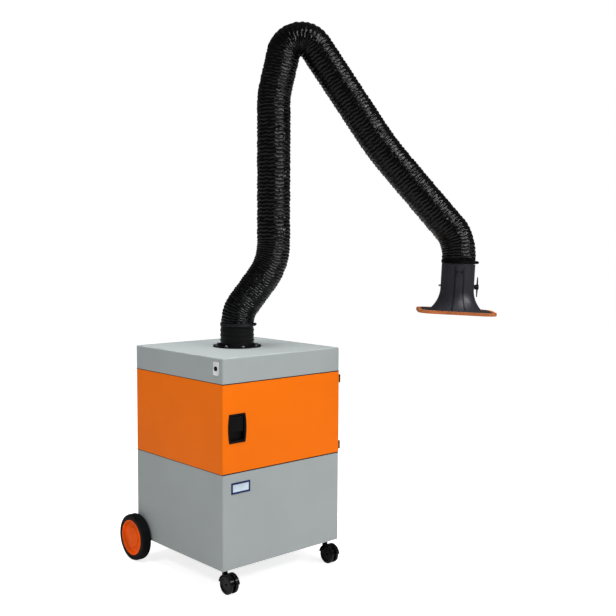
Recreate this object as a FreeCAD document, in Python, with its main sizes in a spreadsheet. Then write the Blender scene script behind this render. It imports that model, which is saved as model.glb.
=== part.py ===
"""Mobile fume extractor: a wheeled cabinet with filter and fan, and a hose arm that swivels on its lid.

Frame: millimetres, +Z up, origin on the floor under the middle of the cabinet.
The door faces -Y and the arm stands over the middle of the lid.
"""
import FreeCAD, Part
import math
import os
import re

import Sketcher
from FreeCAD import Placement, Rotation, Vector

SIZES = {
    # cabinet shell of folded sheet
    "cabinet_width": 655,
    "cabinet_depth": 655,
    "ground_clearance": 104,
    "lower_height": 400,
    "filter_height": 371,
    "lid_height": 105,
    "sheet_gauge": 2,
    "bend_radius": 5,
    "lid_bend": 4,
    "flange_width": 24,
    "seal_height": 3,
    "seal_setback": 3,
    "seal_width": 14,
    "overrun": 10,
    "weld_fit": 0.2,
    # floor of the cabinet, with its caster sockets and axle saddles
    "skirt_depth": 25,
    "base_gauge": 3,
    "socket_radius": 17,
    "socket_depth": 14,
    "saddle_inset": 77.5,
    "saddle_width": 36,
    "saddle_depth": 44,
    "saddle_drop": 16,
    # rear wheels
    "axle_radius": 10,
    "axle_setback": 22,
    "axle_fit": 0.3,
    "notch_clearance": 1.5,
    "wheel_radius": 105,
    "tyre_width": 44,
    "tyre_shoulder": 9,
    "hub_radius": 80,
    "hub_rim": 7,
    "hub_web": 6,
    "hub_dish": 9,
    "boss_radius": 24,
    "cap_wall": 3,
    "disc_radius": 50,
    "disc_rise": 5,
    "wheel_gap": 5,
    "axle_cap_radius": 17,
    "axle_cap_height": 4,
    # twin-wheel casters
    "caster_inset": 42,
    "caster_trail": 30,
    "caster_radius": 40,
    "caster_tread": 16,
    "caster_web": 12,
    "caster_gap": 0.6,
    "caster_recess": 4,
    "hood_gauge": 3,
    "hood_gap": 1.2,
    "pin_radius": 5,
    "pin_fit": 0.3,
    "stem_radius": 8,
    "stem_boss": 12,
    "stem_seat": 16,
    "fork_height": 88,
    "brake_width": 9,
    "brake_reach": 30,
    "brake_gauge": 5,
    "brake_pin": 2.5,
    "brake_tongue": 3,
    # filter door
    "door_gap": 1.5,
    "door_lap": 0.4,
    "door_corner": 3,
    "door_edge": 1.4,
    "pan_inset": 5,
    "pan_depth": 19,
    "gasket_gauge": 3,
    "gasket_width": 12,
    "window_margin": 28,
    # latch in the door
    "latch_place": 75,
    "latch_height": 121,
    "latch_width": 82,
    "latch_bulge": 6,
    "bezel_proud": 2.5,
    "dish_margin": 7,
    "dish_depth": 16,
    "dish_wall": 2,
    "paddle_gap": 1,
    "paddle_height": 62,
    "paddle_gauge": 5,
    "paddle_lip": 9,
    "paddle_pin": 3,
    "bolt_height": 12,
    "bolt_gauge": 8,
    "bolt_slide": 0.3,
    "bolt_tip": 0.8,
    "bolt_travel": 8,
    "sleeve_wall": 3,
    # lift-off hinges
    "hinge_margin": 34,
    "hinge_length": 36,
    "barrel_radius": 5,
    "barrel_bore": 2.5,
    "hinge_fit": 0.3,
    "hinge_gap": 0.3,
    "leaf_gauge": 2.5,
    "leaf_reach": 24,
    "tab_reach": 16,
    # switch in the lid's side
    "switch_place": 41,
    "switch_width": 38,
    "switch_height": 56,
    "switch_gauge": 3,
    "switch_corner": 7,
    "switch_drop": 44,
    "button_radius": 9.5,
    "button_rise": 6,
    "button_fit": 0.3,
    "button_travel": 3,
    "plunger_radius": 5,
    "plunger_length": 26,
    # filter cassette on its rails
    "rail_height": 36,
    "rail_width": 60,
    "rail_leg": 30,
    "filter_side_gap": 30.5,
    "filter_back_gap": 5,
    "filter_tall": 276,
    "filter_board": 15,
    "filter_setback": 34,
    "pleat_height": 205,
    "pleat_pitch": 40,
    "pleat_gauge": 6,
    "screen_tall": 18,
    # fan under the partition
    "partition_gauge": 2,
    "inlet_radius": 105,
    "scroll_radius": 165,
    "scroll_step": 30,
    "scroll_tall": 128,
    "scroll_wall": 2,
    "tongue_width": 10,
    "impeller_radius": 148,
    "impeller_tall": 92,
    "impeller_gap": 14,
    "impeller_plate": 3,
    "impeller_eye": 96,
    "blade_gauge": 4,
    "blade_root": 70,
    "fan_hub_radius": 28,
    "shaft_radius": 12,
    "shaft_fit": 0.3,
    "motor_radius": 84,
    "motor_flange": 104,
    "motor_flange_gauge": 9,
    "motor_tall": 165,
    "motor_groove": 8,
    "motor_fin_pitch": 36,
    # exhaust grille and cable gland in the rear wall
    "grille_margin": 16,
    "grille_gauge": 3,
    "louvre_tall": 6,
    "louvre_pitch": 14,
    "gland_radius": 12,
    "gland_length": 22,
    "gland_thread": 8,
    "gland_inset": 97.5,
    "gland_height": 60,
    # turning joint of the arm on the lid
    "arm_azimuth": -45,
    "flange_radius": 109,
    "flange_gauge": 6,
    "flange_bore": 60,
    "skirt_radius": 86,
    "skirt_top": 17,
    "spigot_radius": 66,
    "spigot_top": 56,
    "turn_gap": 0.3,
    "collar_radius": 75,
    "collar_height": 84,
    "collar_rib": 2.5,
    "collar_rib_tall": 7,
    "cuff_height": 34,
    "cuff_wall": 4,
    "screw_circle": 97,
    "screw_radius": 4,
    "screw_head": 6.5,
    "screw_head_tall": 5,
    "screw_length": 14,
    "screw_fit": 0.2,
    # hose, and the line that it follows from collar to hood
    "hose_radius": 75,
    "hose_valley": 70.5,
    "hose_bore": 67,
    "hose_pitch": 30,
    "hose_cuff": 30,
    "hose_margin": 18,
    "hose_fit": 0.3,
    "base_bend_height": 153,
    "base_bend_radius": 140,
    "lower_offset": 165,
    "kink_height": 380,
    "kink_radius": 270,
    "crest_height": 1124,
    "crest_radius": 300,
    "elbow_offset": 248,
    "elbow_height": 1484,
    "elbow_radius": 79,
    "sag_offset": 650,
    "sag_height": 886,
    "sag_radius": 1400,
    "hood_offset": 997,
    "hood_bend_height": 484,
    "hood_bend_radius": 165,
    "hood_tilt": 2.5,
    # hose clamps
    "clamp_gauge": 1.6,
    "clamp_width": 13,
    "clamp_fit": 0.2,
    "clamp_rise": 10,
    "worm_length": 26,
    "worm_radius": 5.5,
    # struts inside the hose
    "foot_base": 62,
    "foot_gauge": 10,
    "foot_width": 30,
    "lower_pivot_out": 152,
    "lower_pivot_height": 384,
    "strut_bend_height": 1130,
    "elbow_pivot_out": 272,
    "elbow_pivot_height": 1357,
    "hood_pivot_out": 985,
    "hood_pivot_height": 480,
    "eye_gauge": 12,
    "eye_radius": 15,
    "strut_half": 11,
    "cheek_gauge": 5,
    "joint_gap": 0.3,
    "spacer_radius": 8,
    "pivot_radius": 6,
    "pivot_fit": 0.3,
    "pivot_head": 10,
    "pivot_head_tall": 7,
    # hood and its damper, measured down from the hood's pivot
    "neck_drop": 100,
    "neck_radius": 74,
    "neck_wall": 3,
    "neck_run": 110,
    "ring_depth": 26,
    "ring_wall": 4,
    "ring_rise": 30,
    "flare_radius": 120,
    "flare_run": 98,
    "mouth_length": 344,
    "mouth_width": 268,
    "mouth_corner": 70,
    "mouth_gauge": 4,
    "rim_width": 6,
    "rim_height": 12,
    "damper_drop": 200,
    "damper_gauge": 2,
    "damper_clearance": 4,
    "damper_shaft": 4,
    "damper_fit": 0.3,
    "knob_gap": 2,
    "knob_length": 88,
    "knob_gauge": 7,
    "knob_hub": 11,
    "knob_depth": 18,
    "wing_width": 18,
}

SCREW_COUNT = 8
BLADE_COUNT = 9
COLLAR_RIB_COUNT = 3
RIB_SHARES = (0.0, 0.22, 0.5, 0.72)
GLAND_TAPER_SHARES = (0.8, 0.7)
GLAND_NUT_SHARES = (0.5, 0.6)
SHOULDER_SHARE = 0.3
BRAKE_PIN_SHARES = (0.62, 1.52)
SHADE_SHARE = 1.15
CASTER_FACE_SHARES = (0.72, 0.66)
COLLAR_RIB_SHARE = 0.4
WORM_SHARES = (0.7, 0.5)
LOUVRE_SHARE = 0.75
OUTLET_STEPS = 3.5
SPACER_SHARES = (0.12, 0.5, 0.88)

doc = FreeCAD.newDocument("fume_extractor")
sheet = doc.addObject("Spreadsheet::Sheet", "sizes")
parts = []


def fill_sheet():
    """Write every driving size into the sheet, with its name as alias."""
    for row, (name, number) in enumerate(SIZES.items(), start=1):
        sheet.set(f"A{row}", name)
        sheet.set(f"B{row}", str(number))
        sheet.setAlias(f"B{row}", name)
    doc.recompute()


def bound(formula):
    """Turn a formula of size names into an expression on the sheet."""
    return re.sub(r"[a-z_]+", lambda word: "sizes." + word[0] if word[0] in SIZES else word[0], formula)


def value(formula):
    """Work a formula out with the sheet's present numbers."""
    return float(sheet.evalExpression(bound(formula)))


def place(item, x="0", y="0", z="0", yaw="0", pitch="0", roll="0"):
    """Tie an object's placement to formulas."""
    spot = f"placement(vector({x}; {y}; {z}); rotation({yaw}; {pitch}; {roll}))"
    item.setExpression("Placement", bound(spot))
    return item


def keep(item, label):
    """Enter a finished sub-part under the name of its node."""
    item.Label = label
    parts.append(item)
    return item


# Plain solids and booleans

def block(x_low, x_high, y_low, y_high, z_low, z_high):
    """A box between two levels on each axis."""
    item = doc.addObject("Part::Box", "block")
    for key, low, high in (("Length", x_low, x_high), ("Width", y_low, y_high), ("Height", z_low, z_high)):
        item.setExpression(key, bound(f"({high}) - ({low})"))
    return place(item, x_low, y_low, z_low)


def rod(axis, radius, low, high, first="0", second="0"):
    """A cylinder along x, y or z between two levels, placed on the other two axes."""
    item = doc.addObject("Part::Cylinder", "rod")
    item.setExpression("Radius", bound(radius))
    item.setExpression("Height", bound(f"({high}) - ({low})"))
    if axis == "x":
        return place(item, low, first, second, pitch="90")
    if axis == "y":
        return place(item, first, low, second, roll="-90")
    return place(item, first, second, low)


def fuse(*items):
    """Join solids into one."""
    item = doc.addObject("Part::MultiFuse", "fuse")
    item.Shapes = list(items)
    item.Refine = True
    return item


def cut(base, *tools):
    """Take tools away from a solid."""
    item = doc.addObject("Part::Cut", "cut")
    item.Base = base
    item.Tool = tools[0] if len(tools) == 1 else fuse(*tools)
    item.Refine = True
    return item


def common(first, second):
    """Keep what two solids share."""
    item = doc.addObject("Part::Common", "common")
    item.Base = first
    item.Tool = second
    return item


def group(*items):
    """Hold like solids in one sub-part."""
    item = doc.addObject("Part::Compound", "group")
    item.Links = list(items)
    return item


# Sketches and features

def fix(sketch, geometry, point, x=None, y=None):
    """Hold a sketch point at formulas for its two coordinates."""
    for kind, axis, formula in (("DistanceX", -2, x), ("DistanceY", -1, y)):
        if formula is None:
            continue
        if formula == "0":
            sketch.addConstraint(Sketcher.Constraint("PointOnObject", geometry, point, axis))
        else:
            rule = Sketcher.Constraint(kind, -1, 1, geometry, point, value(formula))
            sketch.setExpression(f"Constraints[{sketch.addConstraint(rule)}]", bound(formula))


def fix_radius(sketch, geometry, radius):
    """Tie the radius of a circle or an arc to a formula."""
    rule = Sketcher.Constraint("Radius", geometry, value(radius))
    sketch.setExpression(f"Constraints[{sketch.addConstraint(rule)}]", bound(radius))


def polygon(*points):
    """An outline of straight sides through points given as pairs of formulas."""
    def draw(sketch):
        first = sketch.GeometryCount
        spots = [Vector(value(x), value(y), 0) for x, y in points]
        count = len(spots)
        for side in range(count):
            sketch.addGeometry(Part.LineSegment(spots[side], spots[(side + 1) % count]))
        for side in range(count):
            after = first + (side + 1) % count
            sketch.addConstraint(Sketcher.Constraint("Coincident", first + side, 2, after, 1))
            fix(sketch, first + side, 1, *points[side])
    return draw


def rectangle(x_low, y_low, x_high, y_high):
    """An outline with square corners between two levels on each sketch axis."""
    return polygon((x_low, y_low), (x_high, y_low), (x_high, y_high), (x_low, y_high))


def circle(x, y, radius):
    """A round outline."""
    def draw(sketch):
        ring = Part.Circle(Vector(value(x), value(y), 0), Vector(0, 0, 1), value(radius))
        geometry = sketch.addGeometry(ring)
        fix(sketch, geometry, 3, x, y)
        fix_radius(sketch, geometry, radius)
    return draw


def rounded(x_low, y_low, x_high, y_high, radius):
    """A rectangle whose corners are quarter circles."""
    def draw(sketch):
        first = sketch.GeometryCount
        left, bottom, right, top, r = (value(text) for text in (x_low, y_low, x_high, y_high, radius))
        sides = (((left + r, bottom), (right - r, bottom)), ((right, bottom + r), (right, top - r)),
                 ((right - r, top), (left + r, top)), ((left, top - r), (left, bottom + r)))
        for start, end in sides:
            sketch.addGeometry(Part.LineSegment(Vector(*start, 0), Vector(*end, 0)))
        centres = ((right - r, bottom + r), (right - r, top - r), (left + r, top - r),
                   (left + r, bottom + r))
        for quarter, centre in enumerate(centres):
            ring = Part.Circle(Vector(*centre, 0), Vector(0, 0, 1), r)
            start = (quarter - 1) * math.pi / 2
            sketch.addGeometry(Part.ArcOfCircle(ring, start, start + math.pi / 2))
        for quarter in range(4):
            corner = first + 4 + quarter
            sketch.addConstraint(Sketcher.Constraint("Tangent", first + quarter, 2, corner, 1))
            sketch.addConstraint(Sketcher.Constraint("Tangent", corner, 2, first + (quarter + 1) % 4, 1))
        for quarter in range(3):
            sketch.addConstraint(Sketcher.Constraint("Equal", first + 4 + quarter, first + 5 + quarter))
        sketch.addConstraint(Sketcher.Constraint("Horizontal", first))
        sketch.addConstraint(Sketcher.Constraint("Vertical", first + 1))
        fix(sketch, first, 1, y=y_low)
        fix(sketch, first + 1, 1, x=x_high)
        fix(sketch, first + 2, 1, y=y_high)
        fix(sketch, first + 3, 1, x=x_low)
        fix_radius(sketch, first + 4, radius)
    return draw


def new_body():
    """An empty body for sketched features."""
    return doc.addObject("PartDesign::Body", "body")


def sketch_on(body, plane, offset, outlines):
    """A sketch on one of the body's own planes, moved along that plane's normal."""
    sketch = body.newObject("Sketcher::SketchObject", "sketch")
    support = next(feature for feature in body.Origin.OriginFeatures if feature.Role == plane + "_Plane")
    sketch.AttachmentSupport = [(support, "")]
    sketch.MapMode = "FlatFace"
    sketch.setExpression("AttachmentOffset.Base.z", bound(offset))
    for draw in outlines:
        draw(sketch)
    return sketch


def pad(body, plane, low, high, *outlines):
    """Add material between two levels on the axis that the plane stands across."""
    start = f"-({high})" if plane == "XZ" else low
    feature = body.newObject("PartDesign::Pad", "pad")
    feature.Profile = sketch_on(body, plane, start, outlines)
    feature.setExpression("Length", bound(f"({high}) - ({low})"))
    return feature


def pocket(body, plane, low, high, *outlines):
    """Cut material away between two levels on the axis that the plane stands across."""
    start = f"-({low})" if plane == "XZ" else high
    sketch = sketch_on(body, plane, start, outlines)
    doc.recompute()
    before = body.Shape.Volume
    feature = body.newObject("PartDesign::Pocket", "pocket")
    feature.Profile = sketch
    feature.setExpression("Length", bound(f"({high}) - ({low})"))
    doc.recompute()
    if not body.Shape.Volume < before:
        raise RuntimeError(f"a pocket of {body.Label} cuts nothing")
    return feature


def revolve(body, *outlines):
    """Turn an outline of radius and height round the body's own Z axis."""
    sketch = sketch_on(body, "XZ", "0", outlines)
    feature = body.newObject("PartDesign::Revolution", "turn")
    feature.Profile = sketch
    feature.ReferenceAxis = (sketch, ["V_Axis"])
    feature.Angle = 360
    return feature


def round_edges(body, radius, chosen):
    """Round those edges of the body that the test picks."""
    doc.recompute()
    names = [f"Edge{i}" for i, edge in enumerate(body.Shape.Edges, start=1) if chosen(edge)]
    base = body.Tip
    feature = body.newObject("PartDesign::Fillet", "round")
    feature.Base = (base, names)
    feature.setExpression("Radius", bound(radius))
    return feature


def bar(start, end, half):
    """A straight bar's outline from one point to another, with half its width to each side."""
    (ax, az), (bx, bz) = start, end
    run = f"(({bx}) - ({ax}))"
    rise = f"(({bz}) - ({az}))"
    across = f"{rise} / hypot({run}; {rise}) * ({half})"
    along = f"{run} / hypot({run}; {rise}) * ({half})"
    return polygon((f"{ax} - {across}", f"{az} + {along}"), (f"{bx} - {across}", f"{bz} + {along}"),
                   (f"{bx} + {across}", f"{bz} - {along}"), (f"{ax} + {across}", f"{az} - {along}"))


# Levels and faces that several pieces share

LEFT = "-cabinet_width / 2"
RIGHT = "cabinet_width / 2"
FRONT = "-cabinet_depth / 2"
BACK = "cabinet_depth / 2"
LOWER_TOP = "(ground_clearance + lower_height)"
FILTER_BASE = f"({LOWER_TOP} + seal_height)"
FILTER_TOP = f"({FILTER_BASE} + filter_height)"
LID_BASE = f"({FILTER_TOP} + seal_height)"
LID_TOP = f"({LID_BASE} + lid_height)"
BASE_LEVEL = "(ground_clearance + skirt_depth)"
AXLE_Y = f"({BACK} - axle_setback)"
AXLE_Z = "wheel_radius"
WHEEL_X = "(cabinet_width / 2 + wheel_gap + tyre_width / 2)"
DOOR_SHEET_BACK = f"({FRONT} + sheet_gauge)"
PAN_BACK = f"({DOOR_SHEET_BACK} + pan_depth)"
FRAME_FRONT = f"({PAN_BACK} + gasket_gauge)"
DOOR_LOW = f"({FILTER_BASE} + door_gap)"
DOOR_HIGH = f"({FILTER_TOP} - door_gap)"
DOOR_MID = f"(({FILTER_BASE} + {FILTER_TOP}) / 2)"


def shell_outline(inset="0"):
    """The cabinet's rounded plan, drawn in by an inset."""
    return rounded(f"{LEFT} + ({inset})", f"{FRONT} + ({inset})", f"{RIGHT} - ({inset})",
                   f"{BACK} - ({inset})", f"max(bend_radius - ({inset}); sheet_gauge)")


def screw_places():
    """Places of the flange screws, evenly round the swivel axis."""
    return [(f"screw_circle * cos({360 * (k + 0.5) / SCREW_COUNT})",
             f"screw_circle * sin({360 * (k + 0.5) / SCREW_COUNT})") for k in range(SCREW_COUNT)]


# Cabinet

OUTLET_LOW_X = "(scroll_radius * cos(45) - scroll_step / 2 + tongue_width)"
OUTLET_HIGH_X = f"(scroll_radius + {OUTLET_STEPS} * scroll_step)"
GLAND_X = f"({RIGHT} - gland_inset)"
PARTITION_TOP = f"({LOWER_TOP} - sheet_gauge)"
SCROLL_TOP = f"({PARTITION_TOP} - partition_gauge)"
SCROLL_BASE = f"({SCROLL_TOP} - scroll_tall)"


def make_lower_housing():
    """Grey skirted box round the fan, open at the bottom, with a flange for the filter housing."""
    body = new_body()
    pad(body, "XY", "ground_clearance", LOWER_TOP, shell_outline(), shell_outline("sheet_gauge"))
    pad(body, "XY", f"{LOWER_TOP} - sheet_gauge", LOWER_TOP, shell_outline(), shell_outline("flange_width"))
    wall = (f"{BACK} - sheet_gauge - overrun", f"{BACK} + overrun")
    window = rectangle(f"-{OUTLET_HIGH_X}", SCROLL_BASE, f"-{OUTLET_LOW_X}", SCROLL_TOP)
    pocket(body, "XZ", *wall, window, circle(GLAND_X, f"{BASE_LEVEL} + gland_height", "gland_thread"))
    notch = circle(AXLE_Y, AXLE_Z, "axle_radius + notch_clearance")
    pocket(body, "YZ", f"{LEFT} - overrun", f"{RIGHT} + overrun", notch)
    keep(body, "lower_housing")


def make_base_plate():
    """Floor plate, welded in above the skirt's edge, with caster sockets and axle saddles under it."""
    body = new_body()
    pad(body, "XY", BASE_LEVEL, f"{BASE_LEVEL} + base_gauge", shell_outline("sheet_gauge + weld_fit"))
    sockets = [(f"{side} * ({RIGHT} - caster_inset)", f"{FRONT} + caster_inset") for side in ("1", "-1")]
    for x, y in sockets:
        pad(body, "XY", f"{BASE_LEVEL} - socket_depth", BASE_LEVEL, circle(x, y, "socket_radius"))
    for side in ("1", "-1"):
        middle = f"{side} * ({RIGHT} - saddle_inset)"
        front = f"{AXLE_Y} - saddle_depth + axle_radius + weld_fit"
        saddle = rectangle(f"{middle} - saddle_width / 2", front, f"{middle} + saddle_width / 2",
                           f"{AXLE_Y} + axle_radius")
        pad(body, "XY", f"{AXLE_Z} - saddle_drop", BASE_LEVEL, saddle)
    for x, y in sockets:
        hole = circle(x, y, "stem_radius + weld_fit")
        pocket(body, "XY", f"{BASE_LEVEL} - socket_depth - overrun", f"{BASE_LEVEL} + overrun", hole)
    bore = circle(AXLE_Y, AXLE_Z, "axle_radius + axle_fit")
    pocket(body, "YZ", f"{LEFT}", f"{RIGHT}", bore)
    keep(body, "base_plate")


def make_housing_seals():
    """Black foam strips that leave a shadow gap under the filter housing and under the lid."""
    rings = []
    for low, high in ((LOWER_TOP, FILTER_BASE), (FILTER_TOP, LID_BASE)):
        body = new_body()
        front_gap = f"{FRAME_FRONT} - ({FRONT})"
        inner = "seal_setback + seal_width"
        pad(body, "XY", low, high,
            rectangle(f"{LEFT} + seal_setback", f"{FRONT} + {front_gap}", f"{RIGHT} - seal_setback",
                      f"{BACK} - seal_setback"),
            rectangle(f"{LEFT} + {inner}", f"{FRONT} + {front_gap} + seal_width", f"{RIGHT} - ({inner})",
                      f"{BACK} - ({inner})"))
        rings.append(body)
    keep(group(*rings), "housing_seals")


def hinge_spans():
    """Lower end, middle and upper end of each lift-off hinge."""
    middles = (f"{FILTER_BASE} + hinge_margin", f"{FILTER_TOP} - hinge_margin")
    return [(f"({m} - hinge_length / 2)", f"({m})", f"({m} + hinge_length / 2)") for m in middles]


HINGE_X = f"({RIGHT} + barrel_radius)"
HINGE_Y = f"({DOOR_SHEET_BACK} + leaf_gauge / 2)"


def make_filter_housing():
    """Orange wrap round the filter: two sides and a back, with rims and a frame for the door."""
    body = new_body()
    pad(body, "XY", FILTER_BASE, FILTER_TOP, shell_outline(), shell_outline("sheet_gauge"))
    front_wall = rectangle(f"{LEFT} - overrun", f"{FRONT} - overrun", f"{RIGHT} + overrun",
                           f"{DOOR_SHEET_BACK} + door_lap")
    pocket(body, "XY", f"{FILTER_BASE} - overrun", f"{FILTER_TOP} + overrun", front_wall)
    inner = (f"{LEFT} + flange_width", f"{FRAME_FRONT} + flange_width", f"{RIGHT} - flange_width",
             f"{BACK} - flange_width")
    outer = (f"{LEFT} + sheet_gauge / 2", FRAME_FRONT, f"{RIGHT} - sheet_gauge / 2",
             f"{BACK} - sheet_gauge / 2")
    rims = ((FILTER_BASE, f"{FILTER_BASE} + sheet_gauge"), (f"{FILTER_TOP} - sheet_gauge", FILTER_TOP))
    for low, high in rims:
        pad(body, "XY", low, high, rectangle(*outer), rectangle(*inner))
    pad(body, "XZ", FRAME_FRONT, f"{FRAME_FRONT} + sheet_gauge",
        rectangle(f"{LEFT} + sheet_gauge / 2", FILTER_BASE, f"{RIGHT} - sheet_gauge / 2", FILTER_TOP),
        rounded(f"{LEFT} + window_margin", f"{FILTER_BASE} + window_margin", f"{RIGHT} - window_margin",
                f"{FILTER_TOP} - window_margin", "door_corner"))
    for low, middle, high in hinge_spans():
        notch = rectangle(f"{FRONT} - overrun", f"{middle} - hinge_gap", f"{HINGE_Y} + leaf_gauge",
                          f"{high} + hinge_gap")
        pocket(body, "YZ", f"{RIGHT} - pan_inset", f"{RIGHT} + overrun", notch)
    keep(body, "filter_housing")


def make_lid():
    """Grey cover, an upside-down tray with an inner rim, pierced for the arm and the switch."""
    body = new_body()
    pad(body, "XY", LID_BASE, LID_TOP, shell_outline(), shell_outline("sheet_gauge"))
    pad(body, "XY", f"{LID_TOP} - sheet_gauge", LID_TOP, shell_outline())
    pad(body, "XY", LID_BASE, f"{LID_BASE} + sheet_gauge", shell_outline(), shell_outline("flange_width"))
    top = value(LID_TOP)
    half = value(RIGHT) - value("bend_radius") * 2
    round_edges(body, "lid_bend", lambda edge: abs(edge.BoundBox.ZMin - top) < value("door_lap")
                and max(abs(edge.CenterOfMass.x), abs(edge.CenterOfMass.y)) > half
                and abs(edge.BoundBox.ZMax - top) < value("door_lap"))
    holes = [circle(x, y, "screw_radius + screw_fit") for x, y in screw_places()]
    pocket(body, "XY", f"{LID_TOP} - sheet_gauge - overrun", f"{LID_TOP} + overrun",
           circle("0", "0", "flange_bore"), *holes)
    switch = circle(f"{FRONT} + switch_place", SWITCH_Z, "plunger_radius + button_fit")
    pocket(body, "YZ", f"{LEFT} - overrun", f"{LEFT} + sheet_gauge + overrun", switch)
    keep(body, "lid")


SWITCH_Z = f"({LID_TOP} - switch_drop)"


def make_switch():
    """White plate on the lid's left side, and the round push button that travels in it."""
    y = f"{FRONT} + switch_place"
    plate = new_body()
    pad(plate, "YZ", f"{LEFT} - switch_gauge", LEFT,
        rounded(f"{y} - switch_width / 2", f"{SWITCH_Z} - switch_height / 2", f"{y} + switch_width / 2",
                f"{SWITCH_Z} + switch_height / 2", "switch_corner"),
        circle(y, SWITCH_Z, "button_radius + button_fit"))
    keep(plate, "switch_plate")
    cap = rod("x", "button_radius", f"{LEFT} - button_rise", f"{LEFT} - button_travel - button_fit", y,
              SWITCH_Z)
    plunger = rod("x", "plunger_radius", f"{LEFT} - button_rise", f"{LEFT} + plunger_length", y, SWITCH_Z)
    keep(fuse(cap, plunger), "power_button")


def make_filter():
    """Filter cassette on its rails: a board frame, its pleated pack and the spark screen on top."""
    rail_top = f"({FILTER_BASE} + rail_height)"
    rails = []
    for side in ("1", "-1"):
        wall = f"{side} * ({RIGHT} - sheet_gauge)"
        body = new_body()
        points = ((wall, rail_top), (f"{wall} - {side} * rail_width", rail_top),
                  (f"{wall} - {side} * rail_width", f"{rail_top} - sheet_gauge"),
                  (f"{wall} - {side} * sheet_gauge", f"{rail_top} - sheet_gauge"),
                  (f"{wall} - {side} * sheet_gauge", f"{rail_top} - rail_leg"),
                  (wall, f"{rail_top} - rail_leg"))
        pad(body, "XZ", f"{FRAME_FRONT} + filter_setback", f"{BACK} - flange_width", polygon(*points))
        rails.append(body)
    keep(group(*rails), "filter_rails")

    y_low = f"({FRAME_FRONT} + filter_setback)"
    y_high = f"({BACK} - sheet_gauge - filter_back_gap)"
    half = f"({RIGHT} - sheet_gauge - filter_side_gap)"
    frame = new_body()
    pad(frame, "XY", rail_top, f"{rail_top} + filter_tall",
        rectangle(f"-{half}", y_low, half, y_high),
        rectangle(f"-{half} + filter_board", f"{y_low} + filter_board", f"{half} - filter_board",
                  f"{y_high} - filter_board"))
    keep(frame, "filter_frame")

    count = int(value(f"2 * ({half} - filter_board)") // value("pleat_pitch"))
    low = f"{rail_top} + (filter_tall - pleat_height) / 2"
    high = f"{low} + pleat_height"
    step = f"(({half} - filter_board) / {count})"
    line = []
    for fold in range(2 * count + 1):
        line.append((f"-{half} + filter_board + {step} * {fold}", low if fold % 2 == 0 else high))
    rise = "pleat_gauge * pleat_height / pleat_pitch"
    upper = [(x, f"{z} + {rise}") for x, z in reversed(line)]
    pack = new_body()
    pad(pack, "XZ", f"{y_low} + filter_board", f"{y_high} - filter_board", polygon(*line, *upper))
    keep(pack, "filter_pleats")

    screen_base = f"{rail_top} + filter_tall"
    keep(block(f"-{half}", half, y_low, y_high, screen_base, f"{screen_base} + screen_tall"), "spark_screen")


# Fan

def scroll_outline(inset):
    """Plan of the fan's volute: four quarter arcs of growing radius, then a straight outlet to the back."""
    step = value("scroll_step")
    start = value("scroll_radius") - inset
    centre = Vector(-step / 2, step / 2, 0)
    edges = []
    first = centre + start * Vector(math.cos(math.pi / 4), math.sin(math.pi / 4), 0)
    for quarter in range(4):
        radius = start + quarter * step
        low = quarter * math.pi / 2 if quarter else math.pi / 4
        high = (quarter + 1) * math.pi / 2
        turns = (low, (low + high) / 2, high)
        points = [centre + radius * Vector(math.cos(turn), math.sin(turn), 0) for turn in turns]
        edges.append(Part.Arc(*points).toShape())
        last = points[-1]
        centre = centre - step * Vector(math.cos(high), math.sin(high), 0)
    mouth = value(BACK) - value("sheet_gauge") + (inset and value("overrun"))
    inner_x = value(OUTLET_LOW_X) + inset
    corners = [last, Vector(last.x, mouth, 0), Vector(inner_x, mouth, 0), Vector(inner_x, first.y, 0)]
    corners.append(first)
    for start_point, end_point in zip(corners, corners[1:]):
        edges.append(Part.LineSegment(start_point, end_point).toShape())
    return Part.Face(Part.Wire(edges))


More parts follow.
